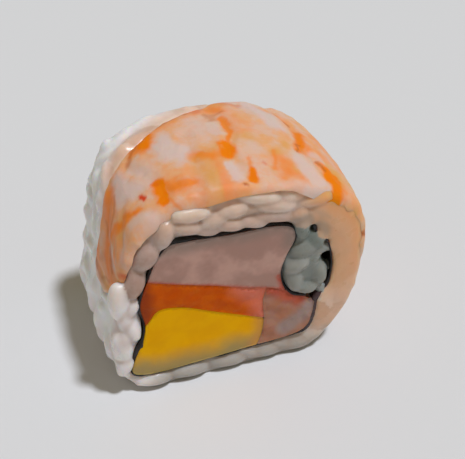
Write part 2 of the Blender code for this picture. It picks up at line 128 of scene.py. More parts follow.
def even(line: Array, spacing: float) -> Array:
    """A polyline resampled with its points about one spacing apart, at least three of them."""
    run = np.concatenate([[0], np.cumsum(np.linalg.norm(np.diff(line, axis=0), axis=1))])
    marks = np.linspace(0, run[-1], max(3, int(round(run[-1] / spacing)) + 1))
    return np.stack([np.interp(marks, run, line[:, k]) for k in range(line.shape[1])], 1)


def curve(points: Keys, spacing: float, closed: bool = False) -> Array:
    """Catmull-Rom curve: each span blends its four nearest keys by cubic weights.

    Args:
        points: the keys that the curve passes through.
        spacing: distance between the points that come back.
        closed: whether the curve returns to its first key.

    Returns:
        Evenly spaced points along the curve.
    """
    keys = np.array(points, dtype=float)
    if closed:
        keys = np.vstack([keys[-1:], keys, keys[:2]])
    else:
        keys = np.vstack([2 * keys[0] - keys[1], keys, 2 * keys[-1] - keys[-2]])
    u = np.linspace(0, 1, POINTS_PER_KEY, endpoint=False)[None, :, None]
    a, b, c, d = (keys[k:len(keys) - 3 + k][:, None] for k in range(4))
    spans = 0.5 * (2 * b + (c - a) * u + (2 * a - 5 * b + 4 * c - d) * u**2
                   + (3 * b - a - 3 * c + d) * u**3)
    return even(np.vstack([spans.reshape(-1, keys.shape[1]), keys[-2:-1]]), spacing)


def beside(line: Array, distance: Array | float) -> Array:
    """The line moved to the left of its direction of travel."""
    along = np.gradient(line, axis=0)
    along /= np.linalg.norm(along, axis=1)[:, None]
    return line + np.stack([-along[:, 1], along[:, 0]], 1) * np.reshape(distance, (-1, 1))


def nearest(line: Array, points: Array) -> tuple[Array, Array]:
    """The closest place on a polyline to each point.

    Args:
        line: the polyline's points.
        points: where to measure from.

    Returns:
        The distances, and the closest places themselves.
    """
    start, step = line[:-1], np.diff(line, axis=0)
    size = np.maximum((step**2).sum(1), 1e-12)
    found, place = np.zeros(len(points)), np.zeros_like(points, dtype=float)
    chunk = max(1, CELLS_AT_ONCE // len(step))
    for first in range(0, len(points), chunk):
        part = points[first:first + chunk, None]
        share = np.clip(((part - start) * step).sum(2) / size, 0, 1)
        at = start + share[..., None] * step
        gap = np.linalg.norm(part - at, axis=2)
        rows, pick = np.arange(len(gap)), gap.argmin(1)
        found[first:first + chunk] = gap[rows, pick]
        place[first:first + chunk] = at[rows, pick]
    return found, place


def within(points: Array, loop: Array) -> Array:
    """Which points lie inside a closed loop, by counting crossings to their right."""
    ends = np.roll(loop, -1, axis=0)
    x, z = points[:, :1], points[:, 1:]
    crosses = (loop[None, :, 1] > z) != (ends[None, :, 1] > z)
    rise = np.where(ends[:, 1] == loop[:, 1], 1e-12, ends[:, 1] - loop[:, 1])
    reach = loop[None, :, 0] + (z - loop[None, :, 1]) * ((ends[:, 0] - loop[:, 0]) / rise)[None]
    return (crosses & (x < reach)).sum(1) % 2 == 1


def ripple(points: Array, period: float, seed: int = 0, octaves: int = 2) -> Array:
    """Smooth random relief from about -1 to 1: hashed lattice values blended by quintic steps.

    Args:
        points: places, in any number of dimensions up to three.
        period: size of the largest ripples.
        seed: picks another pattern.
        octaves: how many finer layers are added, each half as large and half as strong.

    Returns:
        One value for each point.
    """
    total = np.zeros(len(points))
    strength = 1.0
    for octave in range(octaves):
        place = points * (2**octave / period) + 11.7 * (seed + 1) + 5.3 * octave
        cell = np.floor(place).astype(np.int64)
        part = place - cell
        part = part**3 * (part * (part * 6 - 15) + 10)
        for corner in itertools.product((0, 1), repeat=points.shape[1]):
            at = cell + np.array(corner)
            mixed = np.full(len(points), LATTICE_START * (seed + 1), dtype=np.int64)
            for axis, prime in zip(range(points.shape[1]), LATTICE_PRIMES):
                mixed = (mixed ^ (at[:, axis] * prime)) * LATTICE_STEP & LATTICE_LIMIT
                mixed ^= mixed >> 15
            weight = np.where(np.array(corner)[None] == 1, part, 1 - part).prod(1)
            total += strength * weight * ((mixed % LATTICE_LEVELS) / (LATTICE_LEVELS // 2) - 1)
        strength *= 0.5
    return total


# Meshes


def grid_faces(rows: int, columns: int, wrap_rows: bool = False, wrap_columns: bool = False) -> Array:
    """Quads of a grid of points kept row by row.

    Args:
        rows, columns: the grid's size.
        wrap_rows, wrap_columns: whether the last row or column joins the first.

    Returns:
        Four point numbers for each quad.
    """
    i, j = np.meshgrid(np.arange(rows if wrap_rows else rows - 1),
                       np.arange(columns if wrap_columns else columns - 1), indexing="ij")
    below, right = (i + 1) % rows, (j + 1) % columns
    return np.stack([i * columns + j, i * columns + right, below * columns + right,
                     below * columns + j], -1).reshape(-1, 4)


def tube_faces(rows: int, around: int) -> list:
    """Faces of a closed tube: the quads of its wall, and one polygon over each end.

    Args:
        rows, around: how many rings of points it has, and how many points a ring has.

    Returns:
        Point numbers of each face.
    """
    last = (rows - 1) * around
    ends = [list(range(around)), list(range(last, last + around))[::-1]]
    return grid_faces(rows, around, wrap_columns=True).tolist() + ends


def add_masks(mesh: bpy.types.Mesh, masks: dict[str, Array]) -> None:
    """Keeps each mask as a named attribute of a mesh's points, and shades the mesh smooth."""
    for key, values in masks.items():
        layer = mesh.attributes.new(key, "FLOAT", "POINT")
        layer.data.foreach_set("value", values.astype(np.float32))
    mesh.polygons.foreach_set("use_smooth", np.ones(len(mesh.polygons), dtype=bool))


def build_piece(name: str, points: Array, faces: list, masks: dict[str, Array]) -> bpy.types.Object:
    """Makes a smooth-shaded mesh object that rides on the slice.

    Args:
        name: the piece's name.
        points: places in millimetres.
        faces: point numbers of each face.
        masks: values from 0 to 1 for each point, kept as named attributes for the material.

    Returns:
        The new object, at the origin.
    """
    mesh = bpy.data.meshes.new(name)
    mesh.from_pydata((points * MM).tolist(), [], [list(f) for f in faces])
    mesh.validate()
    add_masks(mesh, masks)
    piece = bpy.data.objects.new(name, mesh)
    bpy.context.scene.collection.objects.link(piece)
    face_outwards(piece)
    return piece


def face_outwards(piece: bpy.types.Object) -> None:
    """Turns a closed mesh's faces outwards, by the sign of its enclosed volume."""
    mesh = piece.data
    mesh.calc_loop_triangles()
    corners = np.zeros(len(mesh.loop_triangles) * 3, dtype=np.int32)
    mesh.loop_triangles.foreach_get("vertices", corners)
    a, b, c = mesh_points(mesh)[corners].reshape(-1, 3, 3).transpose(1, 0, 2)
    if (np.cross(a, b) * c).sum() < 0:
        mesh.flip_normals()
    mesh.update()


def mesh_points(mesh: bpy.types.Mesh) -> Array:
    """A mesh's points as rows, in the mesh's own units."""
    flat = np.zeros(len(mesh.vertices) * 3, dtype=np.float32)
    mesh.vertices.foreach_get("co", flat)
    return flat.reshape(-1, 3).astype(float)


def apply_modifiers(piece: bpy.types.Object) -> None:
    """Replaces a piece's mesh by what its modifiers make of it."""
    graph = bpy.context.evaluated_depsgraph_get()
    graph.update()
    made = bpy.data.meshes.new_from_object(piece.evaluated_get(graph))
    piece.modifiers.clear()
    piece.data = made


# The section


@dataclass(frozen=True)
class Section:
    """The slice's section, with the same sizes and keys as the solids have."""

    depth: float = 23.5
    swell: float = 0.034
    nori_thickness: float = 0.55
    outline_keys: Keys = (
        (-15.0, 0.0), (-18.2, 1.4), (-20.5, 5.2), (-21.1, 10.0), (-20.0, 17.2), (-18.3, 25.0),
        (-16.6, 31.2), (-12.6, 34.9), (-5.6, 37.1), (2.4, 37.1), (9.6, 35.2), (16.3, 31.5),
        (20.1, 26.6), (20.9, 21.5), (20.5, 13.0), (18.6, 6.8), (14.4, 1.4), (11.6, 0.0),
    )
    wall_keys: Keys = (
        (11.6, 27.3), (12.3, 25.2), (13.9, 23.6), (14.9, 20.0), (15.0, 16.1), (14.3, 13.3),
        (12.8, 11.3), (12.4, 8.4), (11.4, 5.4), (8.2, 4.3), (1.6, 4.1), (-6.9, 3.7),
        (-14.6, 3.6), (-17.9, 4.9), (-17.3, 8.2), (-15.9, 11.6), (-15.4, 14.8), (-15.9, 19.2),
        (-14.3, 24.3), (-12.5, 28.2), (-9.8, 29.8), (-1.6, 29.2), (4.6, 29.0), (7.9, 28.0),
    )
    curl_keys: Keys = ((8.7, 25.6), (7.5, 22.6), (6.6, 19.4), (7.1, 16.2), (8.6, 13.9), (11.0, 12.7))
    crab_seam: Keys = (
        (-15.7, 24.0), (-9.6, 21.6), (-4.2, 19.7), (0.6, 17.8), (4.6, 16.5), (7.2, 15.2),
    )
    orange_seam: Keys = (
        (-16.6, 13.3), (-14.8, 15.2), (-12.9, 17.3), (-9.0, 16.6), (-4.3, 14.2), (3.9, 10.1),
    )
    pink_seam: Keys = ((4.3, 16.9), (3.7, 14.0), (3.9, 10.1), (3.6, 7.0), (2.8, 4.1))
    core_right_keys: Keys = (
        (13.4, 13.4), (14.4, 15.4), (14.5, 17.6), (13.6, 19.0), (13.1, 20.6), (13.0, 22.4),
        (13.2, 23.8), (11.6, 25.6), (10.7, 27.2), (10.6, 30.6),
    )
    ring_centre: Pair = (-1.0, 16.0)
    shrimp_left: Pair = (-19.6, 17.0)
    shrimp_right: Pair = (20.7, 17.5)
    outline_step: float = 0.4
    nori_step: float = 0.25
    core_step: float = 0.5

    @property
    def half(self) -> float:
        """Half of the slice's depth."""
        return self.depth / 2

    @cached_property
    def outline(self) -> Array:
        """The closed outline, flat at its base."""
        loop = curve(self.outline_keys, self.outline_step, closed=True)
        loop[:, 1] = np.maximum(loop[:, 1], 0)
        return loop

    @cached_property
    def inward(self) -> Array:
        """Unit normals of the outline, into the slice."""
        along = np.roll(self.outline, -2, axis=0) - np.roll(self.outline, 2, axis=0)
        along /= np.maximum(np.linalg.norm(along, axis=1), 1e-9)[:, None]
        return np.stack([along[:, 1], -along[:, 0]], 1)

    @cached_property
    def nori(self) -> Array:
        """The nori's middle line, from its free end round the wall and into the curl."""
        return curve(self.wall_keys + self.curl_keys, self.nori_step)

    @cached_property
    def wall_end(self) -> int:
        """Where the nori leaves the wall and turns into its curl."""
        return int(np.linalg.norm(self.nori - np.array(self.wall_keys[-1]), axis=1).argmin())

    @cached_property
    def wall(self) -> Array:
        """The nori round the fillings, without its curl."""
        return self.nori[:self.wall_end + 1]

    @cached_property
    def core_right(self) -> Array:
        """The free right side of the rice in the curl."""
        return curve(self.core_right_keys, self.core_step)

    @cached_property
    def curl_meets(self) -> int:
        """Where the curl's end comes closest to the wall."""
        return int(np.linalg.norm(self.wall[:-1] - self.nori[-1], axis=1).argmin())

    @cached_property
    def shrimp_range(self) -> tuple[int, int]:
        """Outline point numbers of the shrimp's left and right ends."""
        return tuple(int(np.linalg.norm(self.outline - np.array(end), axis=1).argmin())
                     for end in (self.shrimp_left, self.shrimp_right))

    def outline_at(self, share: Array) -> tuple[Array, Array]:
        """Outline places and inward normals at shares of the shrimp's length.

        Args:
            share: 0 at the shrimp's left end and 1 at its right end.

        Returns:
            Places and unit normals.
        """
        left, right = self.shrimp_range
        mark = left + share * (right - left)
        count = np.arange(len(self.outline))
        place = np.stack([np.interp(mark, count, self.outline[:, k]) for k in (0, 1)], -1)
        normal = np.stack([np.interp(mark, count, self.inward[:, k]) for k in (0, 1)], -1)
        return place, normal / np.linalg.norm(normal, axis=-1, keepdims=True)

    def share_of(self, flat: Array) -> tuple[Array, Array]:
        """The shrimp's share and the depth under the outline at section places.

        Args:
            flat: places on the section.

        Returns:
            Shares, and distances below the outline, which are positive inside it.
        """
        pick = np.linalg.norm(flat[:, None] - self.outline[None], axis=2).argmin(1)
        depth = ((flat - self.outline[pick]) * self.inward[pick]).sum(1)
        left, right = self.shrimp_range
        return (pick - left) / (right - left), depth

    def solid(self, flat: Array, y: Array | float) -> Array:
        """Section places carried to depth y: both grow by up to the swell at mid-depth."""
        y = np.broadcast_to(y, flat.shape[:-1])
        grow = 1 + self.swell * (1 - (y / self.half) ** 2)
        return np.stack([flat[..., 0] * grow, y, flat[..., 1] * grow], -1)

    def rounded(self, y: Array | float, radius: float) -> Array:
        """How far a quarter-circle corner falls back at depth y near either cut face."""
        past = np.clip((np.abs(y) - self.half + radius) / radius, 0, 1)
        return radius * (1 - np.sqrt(1 - past ** 2))

    def flat(self, points: Array) -> Array:
        """Section places of points in the slice, which undoes the swell."""
        grow = 1 + self.swell * (1 - np.clip(points[:, 1] / self.half, -1, 1) ** 2)
        return points[:, [0, 2]] / grow[:, None]


# Shared shader groups


class Graph:
    """A short way to add and join nodes in one node tree."""

    def __init__(self, tree: bpy.types.NodeTree) -> None:
        """Keeps the tree."""
        self.tree = tree

    def add(self, kind: str, inputs: dict | None = None, **settings) -> bpy.types.Node:
        """Adds a node.

        Args:
            kind: the node's type name, without its ShaderNode prefix.
            inputs: values or output sockets for its inputs, by name or number.
            settings: the node's own options.

        Returns:
            The node.
        """
        node = self.tree.nodes.new(kind if kind.startswith("NodeGroup") else "ShaderNode" + kind)
        for key, value in settings.items():
            setattr(node, key, value)
        for key, value in (inputs or {}).items():
            self.feed(node, key, value)
        return node

    def feed(self, node: bpy.types.Node, key: str | int, value) -> None:
        """Sets an input, or joins an output socket to it."""
        if isinstance(value, bpy.types.NodeSocket):
            self.tree.links.new(value, node.inputs[key])
        else:
            node.inputs[key].default_value = value

    def mask(self, name: str) -> bpy.types.NodeSocket:
        """The value of a named attribute."""
        return self.add("Attribute", attribute_name=name).outputs["Fac"]

    def place(self) -> bpy.types.NodeSocket:
        """Object coordinates."""
        return self.add("TexCoord").outputs["Object"]

    def mix(self, factor, first, second) -> bpy.types.NodeSocket:
        """A blend of two colours."""
        node = self.add("Mix", data_type="RGBA")
        self.feed(node, "Factor", factor)
        for key, value in ((6, first), (7, second)):
            self.feed(node, key, value if isinstance(value, bpy.types.NodeSocket) else (*value, 1.0))
        return node.outputs[2]

    def math(self, operation: str, first, second=0.0, clamp: bool = False) -> bpy.types.NodeSocket:
        """One arithmetic step."""
        node = self.add("Math", {0: first, 1: second}, operation=operation, use_clamp=clamp)
        return node.outputs[0]

    def group(self, tree: bpy.types.NodeTree, **inputs) -> bpy.types.Node:
        """Places a shared group with its own input values, whose names have _ for spaces."""
        node = self.add("Group", node_tree=tree)
        for key, value in inputs.items():
            self.feed(node, key.replace("_", " "), value)
        return node


def new_group(name: str, inputs: dict[str, tuple[str, float]], outputs: dict[str, str]) -> Graph:
    """Starts a shader group with named sockets.

    Args:
        name: the group's name.
        inputs: socket kind and first value by name.
        outputs: socket kind by name.

    Returns:
        A graph on the new tree, which has one input and one output node.
    """
    tree = bpy.data.node_groups.new(name, "ShaderNodeTree")
    for key, (kind, value) in inputs.items():
        socket = tree.interface.new_socket(name=key, in_out="INPUT", socket_type=kind)
        if kind == "NodeSocketFloat":
            socket.default_value = value
    for key, kind in outputs.items():
        tree.interface.new_socket(name=key, in_out="OUTPUT", socket_type=kind)
    return Graph(tree)


@dataclass(frozen=True)
class SharedGroups:
    """The effects that several finishes use, each built once."""

    relief: bpy.types.NodeTree
    mottle: bpy.types.NodeTree

    @classmethod
    def build(cls) -> "SharedGroups":
        """Builds both groups."""
        return cls(relief=cls.build_relief(), mottle=cls.build_mottle())

    @staticmethod
    def build_relief() -> bpy.types.NodeTree:
        """Moist relief: coarse lumps, fine grain and small wet patches from three noises.

        Returns:
            A group that puts out a height, and a mask of where the surface is wettest.
        """
        graph = new_group("MoistRelief", {
            "Vector": ("NodeSocketVector", 0.0), "Lump Scale": ("NodeSocketFloat", 600.0),
            "Fine Scale": ("NodeSocketFloat", 2500.0), "Fine Share": ("NodeSocketFloat", 0.35),
        }, {"Height": "NodeSocketFloat", "Wet": "NodeSocketFloat"})
        given, result = graph.add("NodeGroupInput").outputs, graph.add("NodeGroupOutput")
        lumps = graph.add("TexNoise", {"Vector": given["Vector"], "Scale": given["Lump Scale"],
                                       "Detail": 2.0, "Roughness": 0.5})
        fine = graph.add("TexNoise", {"Vector": given["Vector"], "Scale": given["Fine Scale"],
                                      "Detail": 2.0, "Roughness": 0.6})
        part = graph.math("MULTIPLY", fine.outputs["Fac"], given["Fine Share"])
        graph.feed(result, "Height", graph.math("ADD", lumps.outputs["Fac"], part))
        wet = graph.add("MapRange", {"Value": lumps.outputs["Fac"], "From Min": 0.42, "From Max": 0.62})
        graph.feed(result, "Wet", wet.outputs["Result"])
        return graph.tree

    @staticmethod
    def build_mottle() -> bpy.types.NodeTree:
        """Mottle: a noise turned to a soft mask between two limits.

        Returns:
            A group that puts out the mask.
        """
        graph = new_group("Mottle", {
            "Vector": ("NodeSocketVector", 0.0), "Scale": ("NodeSocketFloat", 300.0),
            "Low": ("NodeSocketFloat", 0.4), "High": ("NodeSocketFloat", 0.6),
        }, {"Mask": "NodeSocketFloat"})
        given, result = graph.add("NodeGroupInput").outputs, graph.add("NodeGroupOutput")
        noise = graph.add("TexNoise", {"Vector": given["Vector"], "Scale": given["Scale"],
                                       "Detail": 3.0, "Roughness": 0.55})
        soft = graph.add("MapRange", {"Value": noise.outputs["Fac"], "From Min": given["Low"],
                                      "From Max": given["High"]}, interpolation_type="SMOOTHSTEP")
        graph.feed(result, "Mask", soft.outputs["Result"])
        return graph.tree


@dataclass(frozen=True)
class MoistSurface:
    """What every food finish shares: gloss, translucency and relief."""

    roughness: float
    wet_roughness: float
    coat: float
    subsurface: float
    spread: float
    tint: Colour
    lump_scale: float
    fine_scale: float
    fine_share: float
    relief: float
    specular: float = 0.5
    refraction: float = 1.38
    coat_roughness: float = 0.08

    def dress(self, graph: Graph, groups: SharedGroups, colour: bpy.types.NodeSocket) -> None:
        """Adds the shader: constants on its own sockets, colour, roughness and normal joined.

        Args:
            graph: the material's graph.
            groups: the shared effects.
            colour: the finished base colour.
        """
        relief = graph.group(groups.relief, Vector=graph.place(), Lump_Scale=self.lump_scale,
                             Fine_Scale=self.fine_scale, Fine_Share=self.fine_share)
        bump = graph.add("Bump", {"Height": relief.outputs["Height"], "Strength": 1.0,
                                  "Distance": self.relief * MM})
        rough = graph.add("MapRange", {"Value": relief.outputs["Wet"], "To Min": self.roughness,
                                       "To Max": self.wet_roughness})
        shader = graph.add("BsdfPrincipled", {
            "Base Color": colour,
            "Roughness": rough.outputs["Result"],
            "Normal": bump.outputs["Normal"],
            "IOR": self.refraction,
            "Specular IOR Level": self.specular,
            "Subsurface Weight": self.subsurface,
            "Subsurface Scale": self.spread * MM,
            "Subsurface Radius": self.tint,
            "Coat Weight": self.coat,
            "Coat Roughness": self.coat_roughness,
        })
        graph.feed(graph.add("OutputMaterial"), "Surface", shader.outputs["BSDF"])


@dataclass(frozen=True)
class Mottle:
    """Soft random spots: their scale, the part of the noise that they rise over and strength."""

    scale: float
    low: float
    high: float
    share: float

    def spots(self, graph: Graph, groups: SharedGroups) -> bpy.types.NodeSocket:
        """The spots as a value from 0 to their strength.

        Args:
            graph: the material's graph.
            groups: the shared effects.

        Returns:
            The value's socket.
        """
        noise = graph.group(groups.mottle, Vector=graph.place(), Scale=self.scale, Low=self.low,
                            High=self.high)
        return graph.math("MULTIPLY", noise.outputs["Mask"], self.share)


def blank_material(name: str) -> Graph:
    """A new material's empty graph."""
    material = bpy.data.materials.new(name)
    material.use_nodes = True
    material.node_tree.nodes.clear()
    return Graph(material.node_tree)


def material_of(graph: Graph) -> bpy.types.Material:
    """The material that owns a graph's tree."""
    return next(m for m in bpy.data.materials if m.node_tree == graph.tree)


# Finishes


@dataclass(frozen=True)
class RiceFinish:
    """Cooked rice: grey-white grains, peach where the shrimp's juice reached, painted shade in the
    seams.
    """

    light: Colour = hue(246, 238, 234)
    dull: Colour = hue(176, 142, 128)
    # white: painted light, which brightens the left flank and the lower left of the ring
    white: Colour = hue(252, 248, 252)
    peach: Colour = hue(234, 180, 134)
    shade: Colour = hue(132, 139, 133)
    # seam: painted shade for the creases between grains
    seam: Colour = hue(176, 150, 130)
    blush: Colour = hue(252, 172, 108)
    seam_strength: float = 0.35
    grain_share: float = 0.85
    patches: Mottle = Mottle(420.0, 0.35, 0.68, 0.15)
    surface: MoistSurface = MoistSurface(
        roughness=0.42, wet_roughness=0.27, coat=0.1, subsurface=0.9, spread=1.8,
        tint=(1.0, 0.72, 0.5), lump_scale=420.0, fine_scale=1500.0, fine_share=0.25, relief=0.06)

    def material(self, groups: SharedGroups) -> bpy.types.Material:
        """Blends the grain colours by the piece's masks."""
        graph = blank_material("cooked_rice")
        grains = graph.math("MULTIPLY", graph.mask("tone"), self.grain_share)
        tone = graph.math("ADD", grains, self.patches.spots(graph, groups))
        colour = graph.mix(tone, self.dull, self.light)
        for name in ("white", "peach", "blush", "shade"):
            colour = graph.mix(graph.mask(name), colour, getattr(self, name))
        # Painted shade in the seams between grains.
        seams = graph.math("MULTIPLY", graph.mask("seam"), self.seam_strength)
        colour = graph.mix(seams, colour, self.seam)
        self.surface.dress(graph, groups, colour)
        return material_of(graph)


@dataclass(frozen=True)
class NoriFinish:
    """Damp seaweed: near black, with green and purple-brown patches."""

    dark: Colour = hue(22, 20, 20)
    brown: Colour = hue(74, 54, 56)
    patches: Mottle = Mottle(500.0, 0.5, 0.75, 0.25)
    surface: MoistSurface = MoistSurface(
        roughness=0.55, wet_roughness=0.3, coat=0.1, subsurface=0.0, spread=0.3,
        tint=(1.0, 0.5, 0.4), lump_scale=700.0, fine_scale=3000.0, fine_share=0.6, relief=0.16)

    def material(self, groups: SharedGroups) -> bpy.types.Material:
        """Blends the two colours by a mottle and the piece's brown mask."""
        graph = blank_material("damp_nori")
        spots = self.patches.spots(graph, groups)
        brown = graph.math("ADD", graph.mask("brown"), spots, clamp=True)
        self.surface.dress(graph, groups, graph.mix(brown, self.dark, self.brown))
        return material_of(graph)


@dataclass(frozen=True)
class ShrimpFinish:
    """Cooked shrimp: pale pink flesh, an orange wash and vivid orange bands with dark lines."""

    flesh: Colour = hue(238, 177, 128)
    pale: Colour = hue(225, 198, 188)
    wash: Colour = hue(246, 146, 74)
    golden: Colour = hue(230, 164, 82)
    vivid: Colour = hue(248, 132, 0)
    line: Colour = hue(196, 104, 44)
    red: Colour = hue(222, 72, 34)
    patches: Mottle = Mottle(300.0, 0.4, 0.6, 0.5)
    fibres: Mottle = Mottle(800.0, 0.45, 0.6, 0.18)
    surface: MoistSurface = MoistSurface(
        roughness=0.5, wet_roughness=0.4, coat=0.0, subsurface=0.5, spread=1.0,
        tint=(1.0, 0.45, 0.25), lump_scale=520.0, fine_scale=1500.0, fine_share=0.3, relief=0.1,
        specular=0.26)

    def material(self, groups: SharedGroups) -> bpy.types.Material:
        """Lays the pigments over the flesh, each by its own mask."""
        graph = blank_material("cooked_shrimp")
        colour = graph.mix(self.patches.spots(graph, groups), self.flesh, self.pale)
        washed = graph.mix(graph.mask("golden"), self.wash, self.golden)
        colour = graph.mix(self.fibres.spots(graph, groups), colour, washed)
        colour = graph.mix(graph.mask("wash"), colour, washed)
        for name in ("pale", "vivid", "line", "red"):
            colour = graph.mix(graph.mask(name), colour, getattr(self, name))
        self.surface.dress(graph, groups, colour)
        return material_of(graph)


@dataclass(frozen=True)
class FillingFinish:
    """One filling: a body colour, a second colour by a mask, a third by another, and mottle."""

    name: str
    body: Colour
    second: Colour
    third: Colour
    speckle: Colour
    surface: MoistSurface
    speckles: Mottle

    def material(self, groups: SharedGroups) -> bpy.types.Material:
        """Blends the three colours and the mottle."""
        graph = blank_material(self.name)
        colour = graph.mix(self.speckles.spots(graph, groups), self.body, self.speckle)
        colour = graph.mix(graph.mask("second"), colour, self.second)
        colour = graph.mix(graph.mask("third"), colour, self.third)
        self.surface.dress(graph, groups, colour)
        return material_of(graph)


# The shrimp


@dataclass(frozen=True)
class Stroke:
    """A stroke on the shrimp: keys as (share of its length, depth), reach, strength and softness.

    The reach is where the stroke has half its strength. Softness is the share of the reach over
    which it fades on either side.
    """

    keys: Keys
    reach: float
    strength: float = 1.0
    end_reach: float | None = None
    soft: float = 0.9

    def lay(self, places: Array, length: float) -> Array:
        """The stroke at each place: full near its line, with a smooth step down round it.

        Args:
            places: distance along the shrimp and depth, in millimetres.
            length: the shrimp's length along the outline.

        Returns:
            Values from 0 to the stroke's strength.
        """
        scaled = tuple((share * length, y) for share, y in self.keys)
        line = curve(scaled, 0.6) if len(scaled) > 1 else np.array(scaled * 2)
        furthest = (1 + self.soft) * max(self.reach, self.end_reach or 0)
        near = ((places > line.min(0) - furthest) & (places < line.max(0) + furthest)).all(1)
        laid = np.zeros(len(places))
        gap, at = nearest(line, places[near])
        run = np.linalg.norm(at - line[0], axis=1) / max(np.linalg.norm(line[-1] - line[0]), 1e-6)
        reach = self.reach + ((self.end_reach or self.reach) - self.reach) * np.clip(run, 0, 1)
        laid[near] = self.strength * (1 - ease(reach * (1 - self.soft), reach * (1 + self.soft), gap))
        return laid


